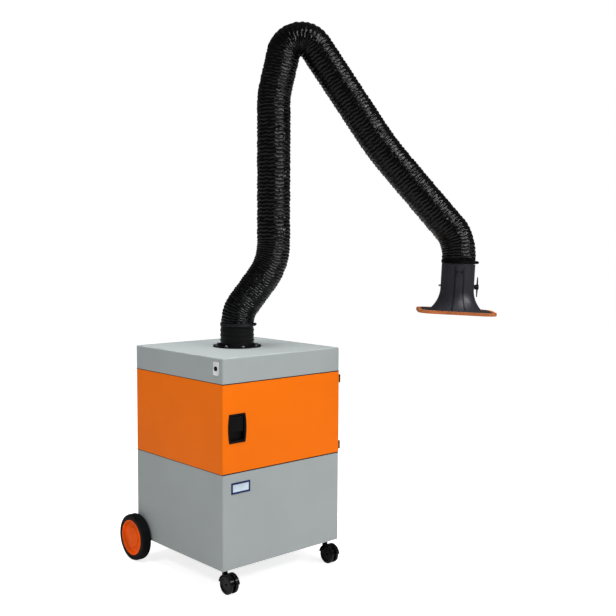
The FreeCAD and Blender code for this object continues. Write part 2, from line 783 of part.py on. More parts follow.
def make_fan():
    """Volute under the partition, motor under the volute, and the impeller on the motor's shaft."""
    plate = new_body()
    pad(plate, "XY", SCROLL_TOP, PARTITION_TOP, shell_outline("sheet_gauge + weld_fit"),
        circle("0", "0", "inlet_radius"))
    keep(plate, "partition_plate")

    wall = value("scroll_wall")
    tall = value("scroll_tall")
    shell = scroll_outline(0).extrude(Vector(0, 0, tall))
    space = scroll_outline(wall).extrude(Vector(0, 0, tall - 2 * wall))
    space.translate(Vector(0, 0, wall))
    overrun = value("overrun")
    depth = wall + 2 * overrun
    inlet = Part.makeCylinder(value("inlet_radius"), depth, Vector(0, 0, tall - wall - overrun))
    shaft_hole = Part.makeCylinder(value("fan_hub_radius"), depth, Vector(0, 0, -overrun))
    volute = doc.addObject("Part::Feature", "volute")
    volute.Shape = shell.cut(space).cut(inlet).cut(shaft_hole).mirror(Vector(0, 0, 0), Vector(1, 0, 0))
    place(volute, z=SCROLL_BASE)
    keep(volute, "fan_scroll")

    motor = new_body()
    count = int(value("motor_tall - 2 * motor_fin_pitch") // value("motor_fin_pitch"))
    points = [("shaft_radius + shaft_fit", "0"), ("motor_flange", "0"),
              ("motor_flange", "-motor_flange_gauge"), ("motor_radius", "-motor_flange_gauge")]
    for fin in range(1, count + 1):
        level = f"-motor_flange_gauge - motor_fin_pitch * {fin}"
        points += [("motor_radius", f"{level} + motor_groove"),
                   ("motor_radius - motor_groove", f"{level} + motor_groove"),
                   ("motor_radius - motor_groove", level), ("motor_radius", level)]
    points += [("motor_radius", "-motor_tall"), ("shaft_radius + shaft_fit", "-motor_tall")]
    revolve(motor, polygon(*points))
    place(motor, z=SCROLL_BASE)
    keep(motor, "fan_motor")

    base = f"({SCROLL_BASE} + scroll_wall + impeller_gap)"
    wheel = new_body()
    bore = circle("0", "0", "shaft_radius")
    pad(wheel, "XY", "0", "impeller_plate", circle("0", "0", "impeller_radius"), bore)
    pad(wheel, "XY", "impeller_plate", "impeller_tall / 2", circle("0", "0", "fan_hub_radius"), bore)
    blades = []
    for blade in range(BLADE_COUNT):
        turn = 360 * blade / BLADE_COUNT
        sweep = turn - 360 / BLADE_COUNT
        tip = "(impeller_radius - blade_gauge)"
        blades.append(bar((f"blade_root * cos({turn})", f"blade_root * sin({turn})"),
                          (f"{tip} * cos({sweep})", f"{tip} * sin({sweep})"), "blade_gauge / 2"))
    pad(wheel, "XY", "impeller_plate", "impeller_tall - impeller_plate", *blades)
    pad(wheel, "XY", "impeller_tall - impeller_plate", "impeller_tall", circle("0", "0", "impeller_radius"),
        circle("0", "0", "impeller_eye"))
    place(wheel, z=base)
    keep(wheel, "fan_impeller")
    shaft = rod("z", "shaft_radius", f"{SCROLL_BASE} - motor_tall", f"{base} + impeller_tall / 2")
    keep(shaft, "fan_shaft")


def make_rear_fittings():
    """Louvred exhaust grille over the fan's outlet, and the gland where the mains lead goes in."""
    grille = new_body()
    low_x, high_x = f"-{OUTLET_HIGH_X}", f"-{OUTLET_LOW_X}"
    pad(grille, "XZ", BACK, f"{BACK} + grille_gauge",
        rounded(f"{low_x} - grille_margin", f"{SCROLL_BASE} - grille_margin", f"{high_x} + grille_margin",
                f"{SCROLL_TOP}", "door_corner"))
    count = int(value("scroll_tall - louvre_pitch") // value("louvre_pitch"))
    slots = []
    for slot in range(count):
        level = f"{SCROLL_BASE} + louvre_pitch * {slot + LOUVRE_SHARE}"
        slots.append(rounded(low_x, level, high_x, f"{level} + louvre_tall", "louvre_tall / 3"))
    pocket(grille, "XZ", f"{BACK} - overrun", f"{BACK} + grille_gauge + overrun", *slots)
    keep(grille, "exhaust_grille")

    gland = new_body()
    revolve(gland, polygon(("0", "-overrun"), ("gland_thread - weld_fit", "-overrun"),
                           ("gland_thread - weld_fit", "0"), ("gland_radius", "0"),
                           ("gland_radius", f"gland_length * {GLAND_NUT_SHARES[0]}"),
                           (f"gland_radius * {GLAND_TAPER_SHARES[0]}",
                            f"gland_length * {GLAND_NUT_SHARES[1]}"),
                           (f"gland_radius * {GLAND_TAPER_SHARES[1]}", "gland_length"),
                           ("0", "gland_length")))
    place(gland, GLAND_X, BACK, f"{BASE_LEVEL} + gland_height", roll="-90")
    keep(gland, "cable_gland")


# Door

LATCH_X = f"({LEFT} + latch_place)"
DISH_HALF = "(latch_width / 2 - dish_margin / 2)"
DISH_TALL = "(latch_height / 2 - dish_margin)"
DISH_BACK = f"({FRONT} + dish_depth)"
BOLT_Y = f"({DOOR_SHEET_BACK} + sleeve_wall + bolt_gauge / 2)"
SLEEVE_END = f"({LEFT} + sheet_gauge + pan_inset + sheet_gauge + bolt_slide)"
PADDLE_PIN_Y = f"({FRONT} + paddle_gauge / 2 + bezel_proud)"
PADDLE_PIN_Z = f"({DOOR_MID} + {DISH_TALL} - dish_wall - paddle_gap - paddle_pin - paddle_gauge / 2)"


def bolt_hole():
    """The latch bolt's section with room to slide."""
    wide = "(bolt_gauge / 2 + bolt_slide)"
    tall = "(bolt_height / 2 + bolt_slide)"
    return rectangle(f"{BOLT_Y} - {wide}", f"{DOOR_MID} - {tall}", f"{BOLT_Y} + {wide}",
                     f"{DOOR_MID} + {tall}")


def make_door():
    """Orange door: a full-width sheet with a stiffening pan behind it and a gasket round the pan."""
    door = new_body()
    pad(door, "XZ", FRONT, DOOR_SHEET_BACK, rounded(LEFT, DOOR_LOW, RIGHT, DOOR_HIGH, "door_corner"))
    inset = "sheet_gauge + pan_inset"
    pan = (f"{LEFT} + {inset}", f"{DOOR_LOW} + {inset}", f"{RIGHT} - ({inset})", f"{DOOR_HIGH} - ({inset})")
    inside = (f"{LEFT} + {inset} + sheet_gauge", f"{DOOR_LOW} + {inset} + sheet_gauge",
              f"{RIGHT} - ({inset}) - sheet_gauge", f"{DOOR_HIGH} - ({inset}) - sheet_gauge")
    pad(door, "XZ", DOOR_SHEET_BACK, PAN_BACK, rectangle(*pan), rectangle(*inside))
    front = value(FRONT)
    round_edges(door, "door_edge", lambda edge: abs(edge.BoundBox.YMax - front) < value("door_lap"))
    opening = rectangle(f"{LATCH_X} - {DISH_HALF} - weld_fit", f"{DOOR_MID} - {DISH_TALL} - weld_fit",
                        f"{LATCH_X} + {DISH_HALF} + weld_fit", f"{DOOR_MID} + {DISH_TALL} + weld_fit")
    pocket(door, "XZ", f"{FRONT} - overrun", f"{DOOR_SHEET_BACK} + weld_fit", opening)
    pocket(door, "YZ", LEFT, SLEEVE_END, bolt_hole())
    keep(door, "filter_door")

    seal = new_body()
    wide = f"{inset} + gasket_width"
    pad(seal, "XZ", PAN_BACK, FRAME_FRONT, rectangle(*pan),
        rectangle(f"{LEFT} + {wide}", f"{DOOR_LOW} + {wide}", f"{RIGHT} - ({wide})",
                  f"{DOOR_HIGH} - ({wide})"))
    keep(seal, "door_gasket")


def barrel_sides(sketch):
    """The latch bezel's outline: flat top and bottom, and sides that bulge outwards as arcs."""
    x, z = value(LATCH_X), value(DOOR_MID)
    half, tall, bulge = value("latch_width / 2"), value("latch_height / 2"), value("latch_bulge")
    corners = [Vector(x + a * half, z + b * tall, 0) for a, b in ((-1, -1), (1, -1), (1, 1), (-1, 1))]
    radius = "((latch_height / 2) ^ 2 + latch_bulge ^ 2) / (2 * latch_bulge)"
    sketch.addGeometry(Part.LineSegment(corners[0], corners[1]))
    sketch.addGeometry(Part.Arc(corners[1], Vector(x + half + bulge, z, 0), corners[2]))
    sketch.addGeometry(Part.LineSegment(corners[2], corners[3]))
    sketch.addGeometry(Part.Arc(corners[3], Vector(x - half - bulge, z, 0), corners[0]))
    for side in range(4):
        sketch.addConstraint(Sketcher.Constraint("Coincident", side, 2, (side + 1) % 4, 1))
    fix(sketch, 0, 1, f"{LATCH_X} - latch_width / 2", f"{DOOR_MID} - latch_height / 2")
    fix(sketch, 0, 2, f"{LATCH_X} + latch_width / 2", f"{DOOR_MID} - latch_height / 2")
    fix(sketch, 2, 1, f"{LATCH_X} + latch_width / 2", f"{DOOR_MID} + latch_height / 2")
    fix(sketch, 2, 2, f"{LATCH_X} - latch_width / 2", f"{DOOR_MID} + latch_height / 2")
    fix_radius(sketch, 1, radius)
    fix_radius(sketch, 3, radius)


def latch_box(inset):
    """The dish's rectangle in the door, drawn in by an inset."""
    return rounded(f"{LATCH_X} - {DISH_HALF} + {inset}", f"{DOOR_MID} - {DISH_TALL} + {inset}",
                   f"{LATCH_X} + {DISH_HALF} - ({inset})", f"{DOOR_MID} + {DISH_TALL} - ({inset})",
                   "door_corner")


def make_latch():
    """Recessed black latch: bezel with finger dish, paddle on a pin across the dish, and sliding bolt."""
    bezel = new_body()
    pad(bezel, "XZ", f"{FRONT} - bezel_proud", FRONT, barrel_sides)
    pad(bezel, "XZ", FRONT, DISH_BACK, latch_box("0"))
    sleeve = rectangle(f"{BOLT_Y} - bolt_gauge / 2 - sleeve_wall + bolt_slide",
                       f"{DOOR_MID} - bolt_height / 2 - sleeve_wall",
                       f"{BOLT_Y} + bolt_gauge / 2 + sleeve_wall",
                       f"{DOOR_MID} + bolt_height / 2 + sleeve_wall")
    pad(bezel, "YZ", SLEEVE_END, f"{LATCH_X} - {DISH_HALF} + dish_wall", sleeve)
    pocket(bezel, "XZ", f"{FRONT} - bezel_proud - overrun", f"{DISH_BACK} - dish_wall",
           latch_box("dish_wall"))
    pocket(bezel, "YZ", f"{SLEEVE_END} - overrun", f"{LATCH_X} - {DISH_HALF}", bolt_hole())
    pins = circle(PADDLE_PIN_Y, PADDLE_PIN_Z, "paddle_pin + hinge_fit")
    pocket(bezel, "YZ", f"{LATCH_X} - {DISH_HALF}", f"{LATCH_X} + {DISH_HALF}", pins)
    keep(bezel, "latch_bezel")

    half = f"({DISH_HALF} - dish_wall - paddle_gap)"
    paddle = new_body()
    face = f"({PADDLE_PIN_Y} - paddle_gauge / 2)"
    top = f"({PADDLE_PIN_Z} + paddle_gauge / 2)"
    lip = f"({top} - paddle_height)"
    side = polygon((face, top), (f"{face} + paddle_gauge", top),
                   (f"{face} + paddle_gauge", f"{lip} + paddle_lip"),
                   (f"{face} + paddle_gauge / 2", lip), (face, lip))
    pad(paddle, "YZ", f"{LATCH_X} - {half}", f"{LATCH_X} + {half}", side)
    reach = f"({DISH_HALF} - weld_fit)"
    pin = circle(PADDLE_PIN_Y, PADDLE_PIN_Z, "paddle_pin")
    pad(paddle, "YZ", f"{LATCH_X} - {reach}", f"{LATCH_X} + {reach}", pin)
    keep(paddle, "latch_paddle")

    keep(block(f"{LEFT} + sheet_gauge + bolt_tip", f"{LATCH_X} - {DISH_HALF} - bolt_travel - bolt_slide",
               f"{BOLT_Y} - bolt_gauge / 2", f"{BOLT_Y} + bolt_gauge / 2",
               f"{DOOR_MID} - bolt_height / 2", f"{DOOR_MID} + bolt_height / 2"), "latch_bolt")


def make_hinges():
    """Two lift-off hinges: the lower halves with pins on the right wall, the upper ones on the door."""
    fixed, moving = [], []
    for low, middle, high in hinge_spans():
        break_low = f"{middle} - hinge_gap"
        leaf = block(RIGHT, f"{RIGHT} + leaf_gauge", HINGE_Y, f"{HINGE_Y} + leaf_reach", low, break_low)
        barrel = rod("z", "barrel_radius", low, break_low, HINGE_X, HINGE_Y)
        pin = rod("z", "barrel_bore", low, f"{high} - leaf_gauge", HINGE_X, HINGE_Y)
        fixed.append(fuse(leaf, barrel, pin))
        tab = block(f"{RIGHT} - tab_reach", HINGE_X, DOOR_SHEET_BACK, f"{DOOR_SHEET_BACK} + leaf_gauge",
                    middle, high)
        knuckle = rod("z", "barrel_radius", middle, high, HINGE_X, HINGE_Y)
        bore = rod("z", "barrel_bore + hinge_fit", f"{middle} - overrun", f"{high} - leaf_gauge / 2",
                   HINGE_X, HINGE_Y)
        edge = block(f"{RIGHT} - sheet_gauge - pan_inset - sheet_gauge - weld_fit",
                     f"{RIGHT} - sheet_gauge - pan_inset + weld_fit", FRONT, BACK, middle, high)
        moving.append(cut(fuse(tab, knuckle), bore, edge))
    keep(group(*fixed), "hinge_posts")
    keep(group(*moving), "hinge_knuckles")


# Wheels

def make_rear_wheels():
    """Axle under the floor plate, and a dished hub with a solid tyre on each end."""
    web = "(tyre_width / 2 - hub_dish - hub_web)"
    seat = f"({web} + cap_wall)"
    reach = f"({WHEEL_X} + {seat} + axle_fit + axle_cap_height)"
    shaft = rod("x", "axle_radius", f"-{reach}", reach, AXLE_Y, AXLE_Z)
    caps = [rod("x", "axle_cap_radius", f"{reach} - axle_cap_height", reach, AXLE_Y, AXLE_Z),
            rod("x", "axle_cap_radius", f"-{reach}", f"-{reach} + axle_cap_height", AXLE_Y, AXLE_Z)]
    keep(fuse(shaft, *caps), "rear_axle")
    half = "tyre_width / 2"
    shoulder = f"tyre_shoulder * {SHOULDER_SHARE}"
    tyre = (("hub_radius", f"-{half}"), ("wheel_radius - tyre_shoulder", f"-{half}"),
            (f"wheel_radius - {shoulder}", f"-{half} + {shoulder}"),
            ("wheel_radius", f"-{half} + tyre_shoulder"), ("wheel_radius", f"{half} - tyre_shoulder"),
            (f"wheel_radius - {shoulder}", f"{half} - {shoulder}"),
            ("wheel_radius - tyre_shoulder", half), ("hub_radius", half))
    rim = "(hub_radius - hub_rim)"
    bore = "axle_radius + axle_fit"
    room = "axle_cap_radius + axle_fit"
    roof = f"{seat} + axle_cap_height + axle_fit * 2"
    cover = f"{half} - hub_dish + disc_rise"
    hub = ((bore, f"-{half}"), ("boss_radius", f"-{half}"), ("boss_radius", web), (rim, web),
           (rim, f"-{half}"), ("hub_radius", f"-{half}"), ("hub_radius", half), (rim, half),
           (f"{rim} - hub_dish / 2", f"{half} - hub_dish"), ("disc_radius", f"{half} - hub_dish"),
           ("disc_radius - disc_rise", cover), ("0", cover), ("0", roof), (room, roof), (room, seat),
           (bore, seat))
    for side, turn, name in (("-1", "-90", "left"), ("1", "90", "right")):
        for label, outline in (("rear_tyre", tyre), ("rear_hub", hub)):
            body = new_body()
            revolve(body, polygon(*outline))
            place(body, f"{side} * {WHEEL_X}", AXLE_Y, AXLE_Z, pitch=turn)
            keep(body, f"{label}_{name}")


def make_casters():
    """Hooded twin-wheel casters at the front, trailing forwards, with brake levers between the wheels."""
    centre = ("-caster_trail", "caster_radius")
    outer = "(caster_radius + hood_gap + hood_gauge)"
    half = "(caster_web / 2 + caster_gap + caster_tread)"
    wheel_low = "(caster_web / 2 + caster_gap)"
    pin_place = (f"-caster_trail - caster_radius * {BRAKE_PIN_SHARES[0]}",
                 f"caster_radius * {BRAKE_PIN_SHARES[1]}")
    stems = []
    for side, name in (("-1", "left"), ("1", "right")):
        x = f"{side} * ({RIGHT} - caster_inset)"
        y = f"{FRONT} + caster_inset"
        hood = cut(rod("x", outer, f"-{half}", half, *centre),
                   rod("x", "caster_radius + hood_gap", f"-{half} - overrun", f"{half} + overrun", *centre))
        shade = common(hood, block(f"-{half} - overrun", f"{half} + overrun", f"-caster_trail - {outer}",
                                   f"-caster_trail + {outer}", f"caster_radius * {SHADE_SHARE}",
                                   "fork_height"))
        web = rod("x", "caster_radius + hood_gap + hood_gauge / 2", "-caster_web / 2", "caster_web / 2",
                  *centre)
        web = common(web, block("-caster_web", "caster_web", "-caster_trail - pin_radius * 2", outer,
                                "caster_radius - pin_radius * 2", "fork_height"))
        pin = rod("x", "pin_radius", f"-{half}", half, *centre)
        boss = rod("z", "stem_boss", "caster_radius", "fork_height")
        tongue = block("-brake_tongue / 2", "brake_tongue / 2", f"{pin_place[0]} - brake_pin",
                       "-caster_trail", f"{pin_place[1]} - brake_pin", f"{pin_place[1]} + brake_pin")
        cross = rod("x", "brake_pin", "-brake_width / 2", "brake_width / 2", *pin_place)
        room = [rod("x", "caster_radius + hood_gap", low, high, *centre)
                for low, high in ((wheel_low + " - caster_gap", f"{half} + overrun"),
                                  (f"-{half} - overrun", f"-{wheel_low} + caster_gap"))]
        slot = block("-brake_width / 2 - caster_gap", "brake_width / 2 + caster_gap",
                     f"-caster_trail - {outer} - overrun", "-caster_trail - pin_radius * 2 - caster_gap",
                     "caster_radius", "fork_height")
        top = rod("z", "stem_radius + pin_fit", "fork_height - stem_seat", "fork_height + overrun")
        shell = cut(fuse(shade, web, boss), *room, slot, top)
        fork = fuse(shell, tongue, cross, pin)
        place(fork, x, y)
        keep(fork, f"caster_fork_{name}")

        wheels = []
        for facing, turn in (("1", "90"), ("-1", "-90")):
            body = new_body()
            revolve(body, polygon(("pin_radius + pin_fit", "0"), ("caster_radius - caster_recess / 2", "0"),
                                  ("caster_radius", "caster_recess / 2"),
                                  ("caster_radius", "caster_tread - caster_recess"),
                                  ("caster_radius - caster_recess", "caster_tread"),
                                  (f"caster_radius * {CASTER_FACE_SHARES[0]}", "caster_tread"),
                                  (f"caster_radius * {CASTER_FACE_SHARES[1]}",
                                   "caster_tread - caster_recess"),
                                  ("pin_radius + pin_fit", "caster_tread - caster_recess")))
            place(body, f"{facing} * {wheel_low}", *centre, pitch=turn)
            wheels.append(body)
        pair = group(*wheels)
        place(pair, x, y)
        keep(pair, f"caster_wheels_{name}")

        lever = new_body()
        nose = f"({pin_place[0]} - brake_reach)"
        pad(lever, "YZ", "-brake_width / 2", "brake_width / 2", circle(*pin_place, "brake_pin * 2"))
        pad(lever, "YZ", "-brake_width / 2", "brake_width / 2",
            polygon((pin_place[0], f"{pin_place[1]} - brake_pin"),
                    (pin_place[0], f"{pin_place[1]} + brake_pin * 2"),
                    (nose, f"{pin_place[1]} + brake_gauge / 2"), (nose, f"{pin_place[1]} - brake_gauge / 2")))
        pocket(lever, "YZ", "-brake_width / 2 - overrun", "brake_width / 2 + overrun",
               circle(*pin_place, "brake_pin + pin_fit"))
        pocket(lever, "YZ", "-brake_tongue / 2 - joint_gap", "brake_tongue / 2 + joint_gap",
               rectangle(f"{pin_place[0]} - brake_pin * 2 - joint_gap", f"{pin_place[1]} - overrun",
                         f"{pin_place[0]} + overrun", f"{pin_place[1]} + overrun"))
        place(lever, x, y)
        keep(lever, f"caster_brake_{name}")
        stems.append(rod("z", "stem_radius", "fork_height - stem_seat", f"{BASE_LEVEL} + base_gauge", x, y))
    keep(group(*stems), "caster_stems")


# Arm: turning joint

def in_arm(item):
    """Stand a piece of the arm on the lid, turned to where the arm points."""
    return place(item, z=LID_TOP, yaw="arm_azimuth")


def make_turning_joint():
    """Bolted flange with a spigot, and the ribbed collar that turns on it and carries the hose."""
    flange = new_body()
    revolve(flange, polygon(("flange_bore", "0"), ("flange_radius", "0"), ("flange_radius", "flange_gauge"),
                            ("skirt_radius", "flange_gauge"), ("collar_radius + collar_rib", "skirt_top"),
                            ("spigot_radius", "skirt_top"), ("spigot_radius", "spigot_top"),
                            ("flange_bore", "spigot_top")))
    pocket(flange, "XY", "-overrun", "flange_gauge + overrun",
           *[circle(x, y, "screw_radius + screw_fit") for x, y in screw_places()])
    place(flange, z=LID_TOP)
    keep(flange, "arm_flange")

    screws = []
    for x, y in screw_places():
        seat = f"{LID_TOP} + flange_gauge"
        head = rod("z", "screw_head", seat, f"{seat} + screw_head_tall", x, y)
        shank = rod("z", "screw_radius", f"{seat} - screw_length", seat, x, y)
        screws.append(fuse(head, shank))
    keep(group(*screws), "flange_screws")

    bore = "spigot_radius + turn_gap"
    low = "(skirt_top + turn_gap)"
    cuff = "(hose_bore - hose_fit)"
    points = [(bore, low), ("collar_radius", low)]
    for rib in range(COLLAR_RIB_COUNT):
        level = f"({low} + (collar_height - {low}) * {(rib + COLLAR_RIB_SHARE) / COLLAR_RIB_COUNT})"
        points += [("collar_radius", level), ("collar_radius + collar_rib", f"{level} + collar_rib_tall / 4"),
                   ("collar_radius + collar_rib", f"{level} + collar_rib_tall * 3 / 4"),
                   ("collar_radius", f"{level} + collar_rib_tall")]
    points += [("collar_radius", "collar_height"), (cuff, "collar_height"),
               (cuff, "collar_height + cuff_height"),
               (f"{cuff} - cuff_wall", "collar_height + cuff_height"),
               (f"{cuff} - cuff_wall", "spigot_top + turn_gap"), (bore, "spigot_top + turn_gap")]
    collar = new_body()
    revolve(collar, polygon(*points))
    in_arm(collar)
    keep(collar, "swivel_collar")


def clamp(low):
    """A worm-drive band round the hose's cuff, with its screw housing on the far side from the cabinet."""
    inner = "hose_radius + clamp_fit"
    outer = f"({inner} + clamp_gauge)"
    high = f"({low} + clamp_width)"
    band = cut(rod("z", outer, low, high), rod("z", inner, f"{low} - overrun", f"{high} + overrun"))
    seat = block("0", f"{outer} + worm_radius", "-worm_length / 2", "worm_length / 2", low, high)
    seat = cut(seat, rod("z", inner, f"{low} - overrun", f"{high} + overrun"))
    screw = rod("y", "worm_radius", f"-worm_length * {WORM_SHARES[0]}", f"worm_length * {WORM_SHARES[1]}",
                f"{outer} + worm_radius", f"{low} + clamp_width / 2")
    return fuse(band, seat, screw)


# Arm: hose

def hose_line():
    """The hose's centre line in the arm's plane, as straight runs joined by tangent arcs."""
    tilt = math.radians(value("hood_tilt"))
    drop = value("hood_bend_height") - value("hood_pivot_height") + value("neck_drop")
    end = (value("hood_offset") - drop * math.tan(tilt), value("hood_bend_height") - drop)
    names = (("0", "collar_height"), ("0", "base_bend_height"), ("lower_offset", "kink_height"),
             ("lower_offset", "crest_height"), ("elbow_offset", "elbow_height"), ("sag_offset", "sag_height"),
             ("hood_offset", "hood_bend_height"))
    corners = [Vector(value(x), 0, value(z)) for x, z in names] + [Vector(end[0], 0, end[1])]
    radii = [value(name) for name in ("base_bend_radius", "kink_radius", "crest_radius", "elbow_radius",
                                      "sag_radius", "hood_bend_radius")]
    pieces = []
    start = corners[0]
    for before, corner, after, radius in zip(corners, corners[1:], corners[2:], radii):
        ahead = (corner - before).normalize()
        beyond = (after - corner).normalize()
        turn = ahead.getAngle(beyond)
        tangent = radius * math.tan(turn / 2)
        inward = (beyond - ahead).normalize()
        middle = corner + inward * (radius / math.cos(turn / 2))
        first = corner - ahead * tangent
        pieces.append(("run", start, first, None, (first - start).Length))
        pieces.append(("arc", first, corner + beyond * tangent, middle, radius * turn))
        start = corner + beyond * tangent
    pieces.append(("run", start, corners[-1], None, (corners[-1] - start).Length))
    return pieces


def hose_point(pieces, station):
    """Point and direction on the centre line at a distance from its start."""
    for kind, start, end, middle, length in pieces:
        if station <= length or (kind, start, end, middle, length) == pieces[-1]:
            if kind == "run":
                ahead = (end - start).normalize()
                return start + ahead * station, ahead
            arm = start - middle
            side = end - middle
            normal = arm.cross(side).normalize()
            turn = Rotation(normal, math.degrees(station / arm.Length))
            spoke = turn.multVec(arm)
            return middle + spoke, normal.cross(spoke).normalize()
        station -= length


def ring_wire(pieces, station, radius):
    """A circle square to the centre line, whose start lies on the arm plane's normal."""
    point, ahead = hose_point(pieces, station)
    normal = Vector(0, 1, 0)
    edge = Part.makeCircle(radius)
    edge.Placement = Placement(point, Rotation(normal, ahead.cross(normal), ahead, "ZXY"))
    return Part.Wire([edge])


def hose_stations(pieces):
    """Where the hose is divided: at the bends that flex with the arm's three pivots."""
    marks = [0.0]
    for piece in pieces:
        marks.append(marks[-1] + piece[4])
    margin = value("hose_margin")
    kink_end = marks[4] + margin
    crest_start = marks[5] - margin
    elbow_end = marks[8] + margin
    hood_start = marks[11] - margin
    return [0.0, kink_end, crest_start, elbow_end, hood_start, marks[-1]]


def make_hose():
    """Ribbed hose in five stretches, the first and last with a plain cuff under a clamp."""
    pieces = hose_line()
    stations = hose_stations(pieces)
    names = ("hose_base", "hose_lower", "hose_elbow", "hose_upper", "hose_hood")
    cuff = value("hose_cuff")
    crest, valley, bore = value("hose_radius"), value("hose_valley"), value("hose_bore")
    total = 0
    for name, start, end in zip(names, stations, stations[1:]):
        low = start + (cuff if name == names[0] else 0)
        high = end - (cuff if name == names[-1] else 0)
        count = max(1, round((high - low) / value("hose_pitch")))
        pitch = (high - low) / count
        total += count
        outer = [(start, crest), (low - pitch * RIB_SHARES[1] / 2, crest)] if low > start else []
        for rib in range(count):
            radii = (valley, valley, crest, crest)
            outer += [(low + (rib + share) * pitch, radius) for share, radius in zip(RIB_SHARES, radii)]
        outer += [(high, valley)] if high == end else [(high, crest), (end, crest)]
        inner = [(start + (end - start) * k / count, bore) for k in range(count + 1)]
        skins = []
        for rings in (outer, inner):
            skins.append(Part.makeLoft([ring_wire(pieces, *ring) for ring in rings], False, True))
        faces = skins[0].Faces + skins[1].Faces
        for ring in (outer[0], outer[-1]):
            disc = Part.Face(ring_wire(pieces, *ring))
            faces += disc.cut(Part.Face(ring_wire(pieces, ring[0], bore))).Faces
        shell = Part.makeShell(faces)
        shell.sewShape()
        solid = Part.Solid(shell)
        if solid.Volume < 0:
            solid.reverse()
        stretch = doc.addObject("Part::Feature", name)
        stretch.Shape = solid
        in_arm(stretch)
        keep(stretch, name)
    print("hose length", round(stations[-1]), "mm with", total, "ribs")


# Arm: struts and pivots

LOWER_PIVOT = ("lower_pivot_out", "lower_pivot_height")
STRUT_BEND = ("lower_offset", "strut_bend_height")
ELBOW_PIVOT = ("elbow_pivot_out", "elbow_pivot_height")
HOOD_PIVOT = ("hood_pivot_out", "hood_pivot_height")
INNER_CHEEK = "(eye_gauge / 2 + joint_gap)"
OUTER_CHEEK = f"({INNER_CHEEK} + cheek_gauge)"


def between(start, end, share):
    """A point part of the way from one point of the arm plane to another."""
    return tuple(f"({a}) + (({b}) - ({a})) * {share}" for a, b in zip(start, end))


def pivot_bolt(place_x, place_z):
    """Bolt with a head and a lock nut, across the cheeks of a friction joint."""
    shank = rod("y", "pivot_radius", f"-{OUTER_CHEEK}", OUTER_CHEEK, place_x, place_z)
    head = rod("y", "pivot_head", f"-{OUTER_CHEEK} - pivot_head_tall", f"-{OUTER_CHEEK}", place_x, place_z)
    nut = rod("y", "pivot_head", OUTER_CHEEK, f"{OUTER_CHEEK} + pivot_head_tall", place_x, place_z)
    return fuse(shank, head, nut)


def make_struts():
    """Foot in the collar, double lower strut and single upper strut, joined by friction pivots."""
    half = "eye_gauge / 2"
    hole = "pivot_radius + pivot_fit"
    bend = ("0", "base_bend_height")
    foot = new_body()
    reach = "(hose_bore - hose_fit - cuff_wall - weld_fit)"
    chord = f"sqrt({reach} ^ 2 - (foot_width / 2) ^ 2)"
    pad(foot, "XY", "foot_base", "foot_base + foot_gauge",
        rectangle(f"-{chord}", "-foot_width / 2", chord, "foot_width / 2"))
    pad(foot, "XZ", f"-{half}", half, bar(("0", "foot_base"), bend, "strut_half"))
    pad(foot, "XZ", f"-{half}", half, circle(*bend, "strut_half"))
    pad(foot, "XZ", f"-{half}", half, bar(bend, LOWER_PIVOT, "strut_half"))
    pad(foot, "XZ", f"-{half}", half, circle(*LOWER_PIVOT, "eye_radius"))
    pocket(foot, "XZ", f"-{half} - overrun", f"{half} + overrun", circle(*LOWER_PIVOT, hole))
    keep(in_arm(foot), "arm_foot")

    lower = new_body()
    spacers = [between(LOWER_PIVOT, STRUT_BEND, share) for share in SPACER_SHARES]
    for low, high in ((f"-{OUTER_CHEEK}", f"-{INNER_CHEEK}"), (INNER_CHEEK, OUTER_CHEEK)):
        pad(lower, "XZ", low, high, bar(LOWER_PIVOT, STRUT_BEND, "strut_half"))
        pad(lower, "XZ", low, high, circle(*STRUT_BEND, "strut_half"))
        pad(lower, "XZ", low, high, bar(STRUT_BEND, ELBOW_PIVOT, "strut_half"))
        for pivot in (LOWER_PIVOT, ELBOW_PIVOT):
            pad(lower, "XZ", low, high, circle(*pivot, "eye_radius"))
        if low != INNER_CHEEK:
            for spacer in spacers:
                pad(lower, "XZ", f"-{INNER_CHEEK}", INNER_CHEEK, circle(*spacer, "spacer_radius"))
    for pivot in (LOWER_PIVOT, ELBOW_PIVOT):
        pocket(lower, "XZ", f"-{OUTER_CHEEK} - overrun", f"{OUTER_CHEEK} + overrun", circle(*pivot, hole))
    keep(in_arm(lower), "lower_strut")

    upper = new_body()
    pad(upper, "XZ", f"-{half}", half, bar(ELBOW_PIVOT, HOOD_PIVOT, "strut_half"))
    for pivot in (ELBOW_PIVOT, HOOD_PIVOT):
        pad(upper, "XZ", f"-{half}", half, circle(*pivot, "eye_radius"))
    for pivot in (ELBOW_PIVOT, HOOD_PIVOT):
        pocket(upper, "XZ", f"-{half} - overrun", f"{half} + overrun", circle(*pivot, hole))
    keep(in_arm(upper), "upper_strut")

    bolts = (("lower_pivot_bolt", LOWER_PIVOT), ("elbow_pivot_bolt", ELBOW_PIVOT),
             ("hood_pivot_bolt", HOOD_PIVOT))
    for name, pivot in bolts:
        keep(in_arm(pivot_bolt(*pivot)), name)
    keep(in_arm(clamp("(collar_height + clamp_rise)")), "base_clamp")


# Arm: hood

HOOD_AXIS_X = ("((hood_offset - hood_pivot_out) * cos(hood_tilt)"
               " - (hood_bend_height - hood_pivot_height) * sin(hood_tilt))")
NECK_TOP = "-neck_drop"
NECK_BASE = "(-neck_drop - neck_run)"
MOUTH_TOP = f"({NECK_BASE} - flare_run)"
MOUTH_BASE = f"({MOUTH_TOP} - mouth_gauge)"


def on_hood_axis(item):
    """Centre a piece of the hood on the line that the hose comes down on."""
    out = f"(hood_pivot_out + {HOOD_AXIS_X} * cos(hood_tilt))"
    level = f"{LID_TOP} + hood_pivot_height - {HOOD_AXIS_X} * sin(hood_tilt)"
    return place(item, f"{out} * cos(arm_azimuth)", f"{out} * sin(arm_azimuth)", level, "arm_azimuth",
                 "hood_tilt")


